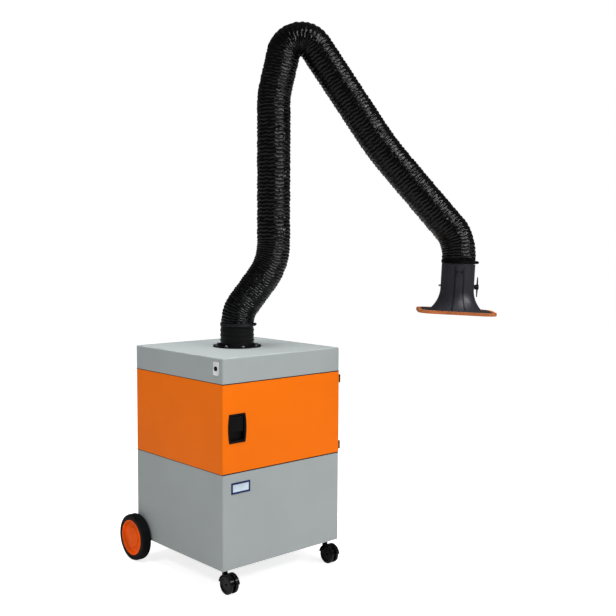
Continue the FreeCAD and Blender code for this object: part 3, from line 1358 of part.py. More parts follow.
def mouth_outline(inset):
    """The mouth plate's rounded outline, drawn in by an inset."""
    return rounded(f"-mouth_length / 2 + {inset}", f"-mouth_width / 2 + {inset}",
                   f"mouth_length / 2 - {inset}", f"mouth_width / 2 - {inset}", f"mouth_corner - {inset}")


def bell(edge):
    """The hood's wall: a straight neck whose two skins flare out to the mouth as arcs."""
    inside = "flare_radius - neck_wall"
    inner = "neck_radius - neck_wall"
    corners = ((inner, edge), ("neck_radius", edge), ("neck_radius", NECK_BASE), ("flare_radius", MOUTH_TOP),
               ("flare_radius", MOUTH_BASE), (inside, MOUTH_BASE), (inside, MOUTH_TOP), (inner, NECK_BASE))
    spread = "(flare_radius - neck_radius)"
    radius = f"({spread} ^ 2 + flare_run ^ 2) / (2 * {spread})"

    def draw(sketch):
        first = sketch.GeometryCount
        spots = [Vector(value(x), value(z), 0) for x, z in corners]
        count = len(spots)
        for side in range(count):
            start, end = spots[side], spots[(side + 1) % count]
            if side in (2, 6):
                base = min(start, end, key=lambda spot: spot.x)
                centre = base + Vector(value(radius), 0, 0)
                middle = (start + end) / 2 - centre
                middle = centre + middle * (value(radius) / middle.Length)
                sketch.addGeometry(Part.Arc(start, middle, end))
            else:
                sketch.addGeometry(Part.LineSegment(start, end))
        for side in range(count):
            after = (side + 1) % count
            ends = 1 if side == 6 else 2
            begins = 2 if after == 6 else 1
            sketch.addConstraint(Sketcher.Constraint("Coincident", first + side, ends, first + after, begins))
        for side in (0, 1, 3, 4, 5, 7):
            fix(sketch, first + side, 1, *corners[side])
        fix_radius(sketch, first + 2, radius)
        fix_radius(sketch, first + 6, radius)
    return draw


def make_hood():
    """Yoke with a turning ring, bell-mouthed hood with a rimmed plate, and damper with a wing knob."""
    ring_outer = "(neck_radius - neck_wall - turn_gap)"
    cuff = "(hose_bore - hose_fit)"
    yoke = new_body()
    revolve(yoke, polygon((f"{cuff} - ring_wall", f"{NECK_TOP} - ring_depth"),
                          (ring_outer, f"{NECK_TOP} - ring_depth"), (ring_outer, f"{NECK_TOP} - turn_gap"),
                          (cuff, f"{NECK_TOP} - turn_gap"), (cuff, f"{NECK_TOP} + ring_rise"),
                          (f"{cuff} - ring_wall", f"{NECK_TOP} + ring_rise")))
    pad(yoke, "XY", NECK_TOP, f"{NECK_TOP} + foot_gauge",
        rectangle(f"-{cuff} + ring_wall / 2", "-foot_width / 2", f"{cuff} - ring_wall / 2", "foot_width / 2"))
    pivot = (f"-{HOOD_AXIS_X}", "0")
    for low, high in ((f"-{OUTER_CHEEK}", f"-{INNER_CHEEK}"), (INNER_CHEEK, OUTER_CHEEK)):
        root = (f"-{HOOD_AXIS_X}", f"{NECK_TOP} + foot_gauge / 2")
        pad(yoke, "XZ", low, high, bar(root, pivot, "strut_half"))
        pad(yoke, "XZ", low, high, circle(*pivot, "eye_radius"))
    pocket(yoke, "XZ", f"-{OUTER_CHEEK} - overrun", f"{OUTER_CHEEK} + overrun",
           circle(*pivot, "pivot_radius + pivot_fit"))
    keep(on_hood_axis(yoke), "hood_yoke")
    keep(on_hood_axis(clamp(f"({NECK_TOP} + turn_gap + clamp_rise / 4)")), "hood_clamp")

    inner = "neck_radius - neck_wall"
    shell = new_body()
    edge = f"{NECK_TOP} - turn_gap * 2"
    revolve(shell, bell(edge))
    pad(shell, "XY", MOUTH_BASE, MOUTH_TOP, mouth_outline("rim_width"),
        circle("0", "0", "flare_radius - neck_wall / 2"))
    pocket(shell, "YZ", "-neck_radius - overrun", "neck_radius + overrun",
           circle("0", "-damper_drop", "damper_shaft + damper_fit"))
    keep(on_hood_axis(shell), "hood_shell")

    rim = new_body()
    pad(rim, "XY", f"{MOUTH_TOP} - rim_height", MOUTH_TOP,
        mouth_outline("0"), mouth_outline("rim_width"))
    keep(on_hood_axis(rim), "hood_rim")

    disc = rod("y", "neck_radius - neck_wall - damper_clearance", "-damper_gauge / 2", "damper_gauge / 2",
               "0", "-damper_drop")
    shaft = rod("x", "damper_shaft", "-neck_radius - knob_gap - knob_gauge",
                "neck_radius + knob_gap + knob_depth", "0", "-damper_drop")
    keep(on_hood_axis(fuse(disc, shaft)), "damper_flap")

    knob = new_body()
    low = "neck_radius + knob_gap"
    pad(knob, "YZ", low, f"{low} + knob_depth", circle("0", "-damper_drop", "knob_hub"))
    middle = f"{low} + knob_depth * 2 / 3"
    wing = polygon((f"{middle} - knob_gauge / 2", "-damper_drop"),
                   (f"{middle} - knob_gauge / 6", "-damper_drop - knob_length / 2"),
                   (f"{middle} + knob_gauge / 6", "-damper_drop - knob_length / 2"),
                   (f"{middle} + knob_gauge / 2", "-damper_drop"),
                   (f"{middle} + knob_gauge / 6", "-damper_drop + knob_length / 2"),
                   (f"{middle} - knob_gauge / 6", "-damper_drop + knob_length / 2"))
    pad(knob, "XZ", "-wing_width / 2", "wing_width / 2", wing)
    pocket(knob, "YZ", f"{low} - overrun", f"{low} + knob_depth + overrun",
           circle("0", "-damper_drop", "damper_shaft"))
    keep(on_hood_axis(knob), "damper_knob")


def check_and_write():
    """Stop on any failed object or shape, then write one file for each sub-part."""
    doc.recompute()
    failed = [item.Name for item in doc.Objects if "Invalid" in item.State or "Error" in item.State]
    if failed:
        raise RuntimeError(f"failed objects: {failed}")
    for item in parts:
        if item.Shape.isNull() or not item.Shape.isValid() or not item.Shape.Solids:
            raise RuntimeError(f"bad shape: {item.Label}")
    os.makedirs("parts", exist_ok=True)
    for item in parts:
        item.Shape.exportStep(f"parts/{item.Label}.step")
    print(len(parts), "sub-parts written")


fill_sheet()
make_lower_housing()
make_base_plate()
make_housing_seals()
make_filter_housing()
make_lid()
make_switch()
make_filter()
make_fan()
make_rear_fittings()
make_door()
make_latch()
make_hinges()
make_rear_wheels()
make_casters()
make_turning_joint()
make_hose()
make_struts()
make_hood()
check_and_write()
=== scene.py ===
"""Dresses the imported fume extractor: paint, plastics, hose, seals, bolts, blank plate and a studio."""
import bisect
import math

import bpy
from bpy.props import FloatProperty, IntProperty, PointerProperty, StringProperty
from mathutils import Matrix, Vector, noise


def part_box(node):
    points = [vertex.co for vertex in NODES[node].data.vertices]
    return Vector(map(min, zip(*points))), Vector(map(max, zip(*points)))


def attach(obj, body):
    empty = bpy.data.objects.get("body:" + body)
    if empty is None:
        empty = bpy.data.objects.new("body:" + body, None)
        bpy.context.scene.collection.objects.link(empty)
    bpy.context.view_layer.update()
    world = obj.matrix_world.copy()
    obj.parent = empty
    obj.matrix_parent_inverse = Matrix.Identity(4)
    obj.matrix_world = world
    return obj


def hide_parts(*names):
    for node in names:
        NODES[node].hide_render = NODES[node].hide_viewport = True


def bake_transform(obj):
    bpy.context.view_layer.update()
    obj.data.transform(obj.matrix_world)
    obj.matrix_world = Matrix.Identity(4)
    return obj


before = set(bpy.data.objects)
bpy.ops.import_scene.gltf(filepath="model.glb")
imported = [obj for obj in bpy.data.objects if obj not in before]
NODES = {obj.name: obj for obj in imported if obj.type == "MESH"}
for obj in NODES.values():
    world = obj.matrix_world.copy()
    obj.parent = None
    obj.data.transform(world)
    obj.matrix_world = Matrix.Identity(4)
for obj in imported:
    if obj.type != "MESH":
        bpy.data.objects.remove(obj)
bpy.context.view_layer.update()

bl_info = {
    "name": "Fume Extractor Dresser",
    "version": (1, 0, 0),
    "blender": (4, 5, 0),
    "location": "View3D > Sidebar > Extractor",
    "description": "Finishes and soft pieces of a mobile fume extractor",
    "category": "Object",
}

# The arm stands in one upright plane through the swivel's axis, turned from +X by this angle.
ARM_TURN = math.radians(-45)
ARM_OUT = Vector((math.cos(ARM_TURN), math.sin(ARM_TURN), 0))
ARM_SIDE = Vector((-math.sin(ARM_TURN), math.cos(ARM_TURN), 0))
LID_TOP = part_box("lid")[1].z

# The hose's line in the arm's plane: metres out from the swivel's axis, and above the lid.
HOSE_ROUTE = (
    (0.0, 0.084), (0.0, 0.153), (0.058, 0.232), (0.165, 0.380), (0.165, 0.555), (0.165, 1.054),
    (0.165, 1.124), (0.1807, 1.192), (0.1999, 1.2751), (0.2143, 1.3379), (0.2686, 1.3727),
    (0.3316, 1.3596), (0.3676, 1.3062), (0.556, 1.0256), (0.650, 0.886), (0.7598, 0.7588),
    (0.9114, 0.5832), (0.997, 0.484), (0.9925, 0.380),
)

# Each stretch of hose: its CAD node, the bodies that carry it, where it ends on the line, where a stretch
# between two bodies would start and stop turning from the first to the second, and how its ribs are bunched.
# Only whether the turning points are given is read: such a stretch is left on no body, and it does not turn.
HOSE_STRETCHES = (
    ("hose_base", ("swivel", "lower_arm"), (0.165, 0.4858), ((0.05, 0.22), (0.165, 0.47)), 0.68),
    ("hose_lower", ("lower_arm",), (0.165, 1.0719), (), 1.0),
    ("hose_elbow", ("lower_arm", "upper_arm"), (0.3597, 1.3180), ((0.2, 1.30), (0.352, 1.33)), 0.85),
    ("hose_upper", ("upper_arm",), (0.9424, 0.5472), (), 1.0),
    ("hose_hood", ("upper_arm", "hood_joint"), (0.9925, 0.380), ((0.95, 0.54), (0.994, 0.42)), 0.8),
)
ROWS_PER_RIB = 8

# How the cloth hangs on its wires: cells of unevenness round the hose and for each rib, how far and how
# slowly the folds drift, how square a crest is, how taut the cloth is, and how fine its creases are.
CELLS_ROUND, CELLS_PER_RIB = 2.2, 0.9
FOLD_DRIFT, FOLD_SPREAD = 2.5, 0.6
CREST_SHAPE = 0.8
TAUT_MEAN, TAUT_RANGE = 0.8, 0.6
CREASE_FINENESS = 2

# The hood's own frame: its axis hangs this far out and up, leaning a little.
HOOD_OUT, HOOD_UP, HOOD_LEAN = 0.9968, 0.4795, math.radians(2.5)
HOOD_PLACE = (Matrix.Translation(ARM_OUT * HOOD_OUT + Vector((0, 0, LID_TOP + HOOD_UP)))
              @ Matrix.Rotation(ARM_TURN, 4, "Z") @ Matrix.Rotation(HOOD_LEAN, 4, "Y"))
NECK_RADIUS = 0.074
NECK_BASE = -0.210
BELL_RADIUS = 0.1274
MOUTH_TOP = -0.308
MOUTH_SIZE = (0.343, 0.267)
MOUTH_CORNER = 0.070

# Ribs and screws on the hood's front: degrees round the neck, heights over its base, and the bell's bend
# that a rib follows, in degrees.
RIB_TURNS, SCREW_TURNS = (-105, -75), (-101, -82)
RIB_START, SCREW_LEVEL = 0.098, 0.075
RIB_BEND = range(6, 49, 6)

# The blank plate's middle on the lower front: across, and above the floor.
PLATE_ACROSS, PLATE_UP = -0.2343, 0.4425

# Ends of the noise that the colours and the roughness run between.
CLOUD_ENDS, GRAIN_ENDS = (0.35, 0.70), (0.3, 0.7)
SMOOTH_UP_TO = math.radians(35)

# Lamps: place, width and height, the light level's name, and what a lamp is hidden from.
LAMPS = {
    "key_lamp": ((1.6, -4.6, 3.4), (4.0, 0.8), "key", ""),
    "fill_lamp": ((-3.6, -0.6, 4.2), (2.4, 1.0), "fill", "visible_glossy"),
    "glint_lamp": ((0.4, -4.2, 5.4), (3.4, 1.8), "glint", "visible_diffuse"),
    "top_lamp": ((0.2, -0.6, 5.2), (3.0, 3.0), "top", "visible_glossy"),
}
LAMP_AIM = Vector((0.1, -0.1, 1.0))
FLOOR_SIZE, FLOOR_LIFT = 60, 0.78
WHITE = (1, 1, 1, 1)

# Camera that gives the photograph's view of a 616 x 616 frame.
CAMERA_PLACE = (-2.5476, -3.3058, 1.4580)
CAMERA_YAW, CAMERA_PITCH, CAMERA_ROLL = (math.radians(angle) for angle in (42.0307, 4.0794, 0.2631))
CAMERA_LENS = 53.84


def length(name, description, default):
    """A size that a user can change, in metres."""
    return FloatProperty(name=name, description=description, default=default, min=0, precision=4,
                         subtype="DISTANCE", unit="LENGTH")


def power(name, description, default):
    """A lamp's power, in watts."""
    return FloatProperty(name=name, description=description, default=default, min=0, subtype="POWER",
                         unit="POWER")


def hue(name, description, default):
    """A colour as an sRGB hex value."""
    return StringProperty(name=name, description=description, default=default, maxlen=6)


class FumeHose(bpy.types.PropertyGroup):
    """Sizes of the ribbed hose."""

    pitch: length("Rib pitch", "Length of one rib along the hose", 0.0168)
    crest: length("Crest radius", "Radius over the ribs", 0.0758)
    valley: length("Valley radius", "Radius between the ribs", 0.0712)
    bore: length("Bore radius", "Radius inside the hose", 0.0672)
    crease: length("Crease depth", "Unevenness of the cloth between its wires", 0.0020)
    cuff: length("Cuff", "Plain length under each clamp", 0.028)
    waver: FloatProperty(name="Waver", description="How far a rib wanders, in ribs", default=0.12)
    tucks: IntProperty(name="Tucks", description="Folds of the cloth round each rib", default=13, min=1)
    sides: IntProperty(name="Sides", description="Points round the hose", default=96, min=12)


class FumeFittings(bpy.types.PropertyGroup):
    """Sizes of the bolts, cords, ribs and plate."""

    bolt_count: IntProperty(name="Bolts", description="Bolts round the arm's flange", default=8, min=3)
    bolt_circle: length("Bolt circle", "Radius that the flange bolts stand on", 0.097)
    bolt_radius: length("Bolt head", "Radius over a hexagon head's corners", 0.0065)
    bolt_height: length("Bolt height", "Height of a hexagon head", 0.0042)
    washer_radius: length("Washer radius", "Radius of a washer", 0.0080)
    washer_height: length("Washer height", "Thickness of a washer", 0.0010)
    # The seam cords are dark strips in the seams: painted shade for the gaps between the sheets.
    cord_width: length("Cord width", "Width of the rubber cord in a seam", 0.0020)
    cord_recess: length("Cord recess", "How far a cord lies behind the sheets", 0.0003)
    cord_reach: length("Cord reach", "How far a cord reaches towards the door's edge", 0.0012)
    rib_width: length("Rib width", "Width of a moulded rib on the hood", 0.0060)
    rib_proud: length("Rib height", "How far a rib stands off the hood", 0.0020)
    screw_radius: length("Screw radius", "Radius of a screw head on the hood", 0.0060)
    lip_width: length("Lip width", "Width of the orange lip on the mouth plate", 0.016)
    lip_height: length("Lip height", "Thickness of the orange lip", 0.0015)
    plate_width: length("Plate width", "Width of the blank plate", 0.0995)
    plate_height: length("Plate height", "Height of the blank plate", 0.048)
    plate_gauge: length("Plate thickness", "Thickness of the blank plate", 0.0012)
    plate_border: length("Plate border", "Width of the plate's printed border", 0.0085)


class FumeColours(bpy.types.PropertyGroup):
    """Colours of the finishes."""

    grey: hue("Grey paint", "Powder coat of lid and lower housing", "9FA5A5")
    orange: hue("Orange paint", "Powder coat of filter housing and door", "F07000")
    hub: hue("Hub orange", "Moulded wheel hubs", "FF5E00")
    rim: hue("Rim orange", "Moulded band and lip of the hood's mouth", "B4683A")
    black: hue("Black plastic", "Moulded fittings", "0B0B0C")
    hood: hue("Hood black", "Moulded hood", "28282E")
    hose: hue("Hose black", "Coated hose cloth", "050506")
    rubber: hue("Rubber black", "Tyres and seals", "141515")
    white: hue("White plastic", "Switch plate", "F2F4F6")
    border: hue("Plate border", "Printed border of the blank plate", "142A60")


class FumeStage(bpy.types.PropertyGroup):
    """Light levels of the studio."""

    sky: FloatProperty(name="Sky", description="Level of the even light from all round", default=0.40, min=0)
    sheen: FloatProperty(name="Sheen", description="Level of the light in reflections", default=0.06, min=0)
    key: power("Key light", "Power of the lamp in front", 150)
    fill: power("Fill light", "Power of the lamp on the left", 68)
    glint: power("Glint lamp", "Power of the lamp that shows only in gloss", 135)
    top: power("Top light", "Power of the lamp overhead", 262)


def linear(hex_colour):
    """sRGB hex to the linear colour that shaders use."""
    parts = [int(hex_colour[k:k + 2], 16) / 255 for k in (0, 2, 4)]
    return [p / 12.92 if p <= 0.04045 else ((p + 0.055) / 1.055) ** 2.4 for p in parts] + [1.0]


def shade(hex_colour, share):
    """The same hue with each channel lowered."""
    return "".join(f"{round(int(hex_colour[k:k + 2], 16) * share):02X}" for k in (0, 2, 4))


def add(tree, kind, links=(), feeds=(), **settings):
    """Add a shader node with its settings, its incoming links and the sockets that it feeds."""
    made = tree.nodes.new("ShaderNode" + kind)
    for key, setting in settings.items():
        if hasattr(made, key):
            setattr(made, key, setting)
        else:
            made.inputs[key.replace("_", " ")].default_value = setting
    for source, output, socket in links:
        tree.links.new(source.outputs[output], made.inputs[socket])
    for output, target, socket in feeds:
        tree.links.new(made.outputs[output], target.inputs[socket])
    return made


def blank_material(name, **sockets):
    """A new material with its surface shader and output; returns material, node tree and shader."""
    material = bpy.data.materials.new(name)
    material.use_nodes = True
    tree = material.node_tree
    tree.nodes.clear()
    surface = add(tree, "BsdfPrincipled", **sockets)
    add(tree, "OutputMaterial", [(surface, "BSDF", "Surface")])
    return material, tree, surface


def finish(name, colour, dim, cloud_mm, grain_mm, relief_mm, rough, stretch=(1, 1, 1), along="",
           **sockets):
    """A clouded colour, a grain with relief, and a roughness that follows the grain, all by sizes in mm."""
    material, tree, surface = blank_material(name, **sockets)
    if along:
        place = add(tree, "Attribute", attribute_name=along)
    else:
        place = add(tree, "TexCoord")
    laid = add(tree, "Mapping", [(place, "Vector" if along else "Object", "Vector")], Scale=stretch)
    clouds = add(tree, "TexNoise", [(laid, "Vector", "Vector")], Scale=1000 / cloud_mm, Detail=3.0)
    ramp = add(tree, "ValToRGB", [(clouds, "Fac", "Fac")], [("Color", surface, "Base Color")])
    low, high = ramp.color_ramp.elements
    low.position, high.position = CLOUD_ENDS
    low.color, high.color = linear(shade(colour, dim)), linear(colour)
    grain = add(tree, "TexNoise", [(laid, "Vector", "Vector")], Scale=1000 / grain_mm, Detail=2.0)
    add(tree, "Bump", [(grain, "Fac", "Height")], [("Normal", surface, "Normal")], Distance=relief_mm / 1000)
    add(tree, "MapRange", [(grain, "Fac", "Value")], [("Result", surface, "Roughness")],
        From_Min=GRAIN_ENDS[0], From_Max=GRAIN_ENDS[1], To_Min=rough[0], To_Max=rough[1])
    return material


def powder_coat(name, colour):
    """Polyester powder baked on steel sheet."""
    # An even satin skin. Its orange peel is 1 to 2 mm across, drawn at 4 mm so that it shows.
    return finish(name, colour, dim=0.965, cloud_mm=450, grain_mm=4, relief_mm=0.03, rough=(0.36, 0.46),
                  IOR=1.5, Specular_IOR_Level=0.10)


def moulded_nylon(name, colour, rough=(0.36, 0.50), level=0.22):
    """Injection-moulded nylon or ABS from a spark-eroded mould."""
    # A dull, even skin with a fine grain. The grain is 0.3 mm, drawn at 1.2 mm so that it shows.
    return finish(name, colour, dim=0.85, cloud_mm=70, grain_mm=1.2, relief_mm=0.05, rough=rough,
                  IOR=1.5, Specular_IOR_Level=level)


def moulded_rubber(name, colour):
    """Moulded EPDM rubber."""
    # Nearly no shine, and a bloom of dust in patches about 30 mm across.
    return finish(name, colour, dim=0.6, cloud_mm=30, grain_mm=1.5, relief_mm=0.09, rough=(0.50, 0.70),
                  IOR=1.5, Specular_IOR_Level=0.1)


def coated_cloth(name, colour):
    """Glass cloth coated with black PVC over a wire helix."""
    # Deep black with wet-looking glints where the coat is stretched over the folds, finely creased at 9 mm.
    return finish(name, colour, dim=0.7, cloud_mm=18, grain_mm=9, relief_mm=1.1, rough=(0.11, 0.20),
                  along="cloth_place", IOR=1.53, Specular_IOR_Level=0.19)


def plated_metal(name, colour, rough, stretch=(1, 1, 40)):
    """Zinc-plated, drawn or galvanised metal."""
    # A soft mirror broken by fine lines along the draw, or by flakes where nothing is stretched.
    return finish(name, colour, dim=0.82, cloud_mm=17, grain_mm=5, relief_mm=0.015, rough=rough,
                  stretch=stretch, Metallic=1.0)


def filter_mat(name, colour):
    """Pressed fibre: glass fleece or cardboard."""
    # Rough and shadowy, with short fibres about 6 mm long.
    return finish(name, colour, dim=0.84, cloud_mm=11, grain_mm=6, relief_mm=0.4, rough=(0.80, 0.95),
                  IOR=1.45)


def spark_mesh(name, colour):
    """Woven wire screen that stops sparks."""
    # Bright wires over gaps painted dark: painted shade where the holes are. The mesh is 2 mm, drawn at 8 mm
    # so that it shows.
    mesh_mm, wire_mm = 8, 1
    material, tree, surface = blank_material(name, Metallic=1.0, Roughness=0.45)
    place = add(tree, "TexCoord")
    wires = add(tree, "TexBrick", [(place, "Object", "Vector")], [("Color", surface, "Base Color")],
                Scale=1000 / mesh_mm, Color1=linear(colour), Color2=linear(shade(colour, 0.9)),
                Mortar=linear(shade(colour, 0.35)))
    add(tree, "Bump", [(wires, "Fac", "Height")], [("Normal", surface, "Normal")], invert=True,
        Distance=wire_mm / 1000)
    return material


def dress(material, *names):
    """Give CAD nodes a finish."""
    for name in names:
        mesh = NODES[name].data
        mesh.materials.clear()
        mesh.materials.append(material)


def deselect():
    """Leave nothing selected, in object mode."""
    if bpy.context.object and bpy.context.object.mode != "OBJECT":
        bpy.ops.object.mode_set(mode="OBJECT")
    bpy.ops.object.select_all(action="DESELECT")


def take(obj):
    """Select one object alone and make it the active one."""
    deselect()
    obj.select_set(True)
    bpy.context.view_layer.objects.active = obj


def pick(obj, kind, test):
    """Select the faces or corners of a mesh that pass a test, in edit mode."""
    take(obj)
    bpy.ops.object.mode_set(mode="EDIT")
    bpy.ops.mesh.select_mode(type=kind)
    bpy.ops.mesh.select_all(action="DESELECT")
    bpy.ops.object.mode_set(mode="OBJECT")
    parts = [part for part in (obj.data.polygons if kind == "FACE" else obj.data.vertices) if test(part)]
    if not parts:
        raise RuntimeError(f"nothing to shape on {obj.name}")
    for part in parts:
        part.select = True
    bpy.ops.object.mode_set(mode="EDIT")


def round_off(obj, offset, segments):
    """Round every sharp edge of a piece with a bevel."""
    take(obj)
    bevel = obj.modifiers.new("rounding", "BEVEL")
    bevel.width = offset
    bevel.segments = segments
    bevel.limit_method = "ANGLE"
    bpy.ops.object.modifier_apply(modifier=bevel.name)


def frame_ring(obj, width, height):
    """Make a flat outline a ring of this width, standing this high, with its faces outwards."""
    take(obj)
    bpy.ops.object.mode_set(mode="EDIT")
    bpy.ops.mesh.select_mode(type="FACE")
    bpy.ops.mesh.select_all(action="SELECT")
    bpy.ops.mesh.inset(thickness=width)
    bpy.ops.mesh.delete(type="FACE")
    bpy.ops.mesh.select_all(action="SELECT")
    bpy.ops.mesh.extrude_region_move(TRANSFORM_OT_translate={"value": (0, 0, height)})
    bpy.ops.mesh.select_all(action="SELECT")
    bpy.ops.mesh.normals_make_consistent(inside=False)
    bpy.ops.object.mode_set(mode="OBJECT")


def join(objects):
    """Make several pieces one."""
    deselect()
    for obj in objects:
        obj.select_set(True)
    bpy.context.view_layer.objects.active = objects[0]
    bpy.ops.object.join()
    return objects[0]


def copies(model, places):
    """Put a copy of a model, with its own mesh, at each place and make the copies one piece."""
    made = []
    for place in places:
        copy = model.copy()
        copy.data = model.data.copy()
        copy.data.transform(place)
        bpy.context.collection.objects.link(copy)
        made.append(copy)
    bpy.data.objects.remove(model)
    return join(made)


def settle(obj, name, material, body, slot, *replaced):
    """Name a finished piece, coat it and let it ride on a body, in place of CAD nodes if it replaces any."""
    if not obj.data.polygons:
        raise RuntimeError(f"{name} has no faces")
    take(obj)
    bpy.ops.object.transform_apply(location=True, rotation=True, scale=True)
    obj.name = name
    obj.data.name = name
    if material:
        obj.data.materials.clear()
        obj.data.materials.append(material)
    bpy.ops.object.shade_smooth_by_angle(angle=SMOOTH_UP_TO)
    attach(obj, body)
    if replaced:
        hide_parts(*replaced)


def in_arm(out, up):
    """A point of the arm's plane, from its distance out and its height over the lid."""
    return ARM_OUT * out + Vector((0, 0, LID_TOP + up))


def route_points():
    """The hose's smooth line, read from a NURBS spline with the route as its control points."""
    curve = bpy.data.curves.new("hose_line", "CURVE")
    curve.dimensions = "3D"
    spline = curve.splines.new("NURBS")
    spline.points.add(len(HOSE_ROUTE) - 1)
    for point, spot in zip(spline.points, HOSE_ROUTE):
        point.co = (*in_arm(*spot), 1.0)
    spline.order_u = 3
    spline.use_endpoint_u = True
    spline.resolution_u = 48
    holder = bpy.data.objects.new("hose_line", curve)
    bpy.context.collection.objects.link(holder)
    bpy.context.view_layer.update()
    mesh = bpy.data.meshes.new_from_object(holder.evaluated_get(bpy.context.evaluated_depsgraph_get()))
    points = [vertex.co.copy() for vertex in mesh.vertices]
    bpy.data.objects.remove(holder)
    bpy.data.meshes.remove(mesh)
    bpy.data.curves.remove(curve)
    return points


class HoseLine:
    """The hose's line, measured by the distance from its start."""

    def __init__(self, points):
        self.points = points
        self.marks = [0.0]
        for before, after in zip(points, points[1:]):
            self.marks.append(self.marks[-1] + (after - before).length)

    def at(self, distance):
        """Place and direction at a distance."""
        last = len(self.marks) - 2
        low = min(max(bisect.bisect_right(self.marks, distance) - 1, 0), last)
        share = (distance - self.marks[low]) / (self.marks[low + 1] - self.marks[low])
        here = self.points[low].lerp(self.points[low + 1], share)
        before = self.points[max(low - 1, 0)]
        after = self.points[min(low + 2, last + 1)]
        return here, (after - before).normalized()

    def nearest(self, target):
        """Distance of the line's point that lies nearest to a target."""
        index = min(range(len(self.points)), key=lambda k: (self.points[k] - target).length)
        return self.marks[index]


def cloth_radius(hose, ribs, turn, distance):
    """Radius of the cloth: crests that wander a little round the hose, some taut and some slack."""
    seed = Vector((math.cos(turn) * CELLS_ROUND, math.sin(turn) * CELLS_ROUND,
                   distance / hose.pitch * CELLS_PER_RIB))
    fold = math.sin(hose.tucks * turn + FOLD_DRIFT * noise.noise(seed * FOLD_SPREAD))
    swell = abs(math.sin(math.pi * (ribs + hose.waver * fold))) ** CREST_SHAPE
    tautness = TAUT_MEAN + TAUT_RANGE * noise.noise(seed)
    crease = noise.noise(seed * CREASE_FINENESS) * hose.crease
    return hose.valley + (hose.crest - hose.valley) * swell * tautness + crease


def hose_tube(name, line, start, end, count, hose, plain):
    """One stretch of hose: ribs of coated cloth outside, a smooth bore inside, closed at both ends."""
    ring = hose.sides
    turns = [2 * math.pi * side / ring for side in range(ring)]
    fine = count * ROWS_PER_RIB
    outer = [start + (end - start) * row / fine for row in range(fine + 1)]
    inner = [start + (end - start) * row / count for row in range(count, -1, -1)]
    verts, spots = [], []
    for wall, distances in (("cloth", outer), ("bore", inner)):
        for distance in distances:
            here, ahead = line.at(distance)
            across = ahead.cross(ARM_SIDE).normalized()
            ribs = count * (distance - start) / (end - start)
            for turn in turns:
                radius = hose.bore
                if wall == "cloth" and plain(distance):
                    radius = hose.crest - hose.crease
                elif wall == "cloth":
                    radius = min(cloth_radius(hose, ribs, turn, distance), hose.crest)
                verts.append(here + (ARM_SIDE * math.cos(turn) + across * math.sin(turn)) * radius)
                spots += [math.cos(turn) * hose.crest, math.sin(turn) * hose.crest, distance]
    rows = len(outer) + len(inner)
    faces = []
    for row in range(rows):
        here, there = row * ring, (row + 1) % rows * ring
        for side in range(ring):
            after = (side + 1) % ring
            faces.append((here + side, here + after, there + after, there + side))
    mesh = bpy.data.meshes.new(name)
    mesh.from_pydata(verts, [], faces)
    mesh.attributes.new("cloth_place", "FLOAT_VECTOR", "POINT").data.foreach_set("vector", spots)
    obj = bpy.data.objects.new(name, mesh)
    bpy.context.collection.objects.link(obj)
    take(obj)
    bpy.ops.object.mode_set(mode="EDIT")
    bpy.ops.mesh.select_all(action="SELECT")
    bpy.ops.mesh.normals_make_consistent(inside=False)
    bpy.ops.object.mode_set(mode="OBJECT")
    bpy.ops.object.shade_smooth()
    return obj


class FUME_OT_cabinet(bpy.types.Operator):
    """Coat the cabinet's sheets, door and fittings"""

    bl_idname = "fume.cabinet"
    bl_label = "Cabinet"

    def execute(self, context):
        colours = context.scene.fume_colours
        dress(powder_coat("grey_powder_coat", colours.grey), "lower_housing", "base_plate", "lid")
        dress(powder_coat("orange_powder_coat", colours.orange), "filter_housing", "filter_door")
        dress(moulded_nylon("black_moulded_nylon", colours.black, level=0.07), "latch_bezel", "hinge_posts",
              "hinge_knuckles", "exhaust_grille", "cable_gland", "arm_flange")
        dress(moulded_nylon("smooth_black_nylon", colours.black, (0.24, 0.34), 0.08), "latch_paddle",
              "power_button")
        dress(moulded_nylon("white_abs", colours.white, (0.26, 0.36), 0.4), "switch_plate")
        dress(moulded_rubber("foam_rubber_seal", colours.rubber), "housing_seals", "door_gasket")
        dress(plated_metal("zinc_plated_steel", "B9BCBE", (0.28, 0.42)), "latch_bolt", "caster_stems",
              "rear_axle")
        return {"FINISHED"}


class FUME_OT_seam_shade_cords(bpy.types.Operator):
    """Lay black rubber cords in the seams over and under the filter housing, as painted shade in the gaps"""

    bl_idname = "fume.seam_cords"
    bl_label = "Seam cords"

    def execute(self, context):
        housing_low, housing_high = (corner.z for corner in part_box("filter_housing"))
        fittings = context.scene.fume_fittings
        upper = self.cord(fittings, housing_high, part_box("lid")[0].z, -fittings.cord_reach)
        lower = self.cord(fittings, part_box("lower_housing")[1].z, housing_low, fittings.cord_reach)
        rubber = moulded_rubber("seam_cord_rubber", context.scene.fume_colours.rubber)
        settle(join([upper, lower]), "seam_cords", rubber, "cabinet", "rubber")
        return {"FINISHED"}

    def cord(self, fittings, low, high, reach):
        """One dark cord round the cabinet, painting the seam's shade, a little higher in front, where it
        reaches to the door's edge.
        """
        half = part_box("lid")[1].x - fittings.cord_recess
        deselect()
        bpy.ops.mesh.primitive_plane_add(size=2 * half, location=(0, 0, low))
        cord = bpy.context.object
        bpy.ops.object.transform_apply(location=True)
        frame_ring(cord, fittings.cord_width, high - low)
        level = low if reach < 0 else high
        front = fittings.cord_width * 1.5 - half
        pick(cord, "VERT", lambda spot: spot.co.y < front and abs(spot.co.z - level) < fittings.cord_recess)
        bpy.ops.transform.translate(value=(0, 0, reach))
        bpy.ops.object.mode_set(mode="OBJECT")
        round_off(cord, fittings.cord_recess, 2)
        return cord


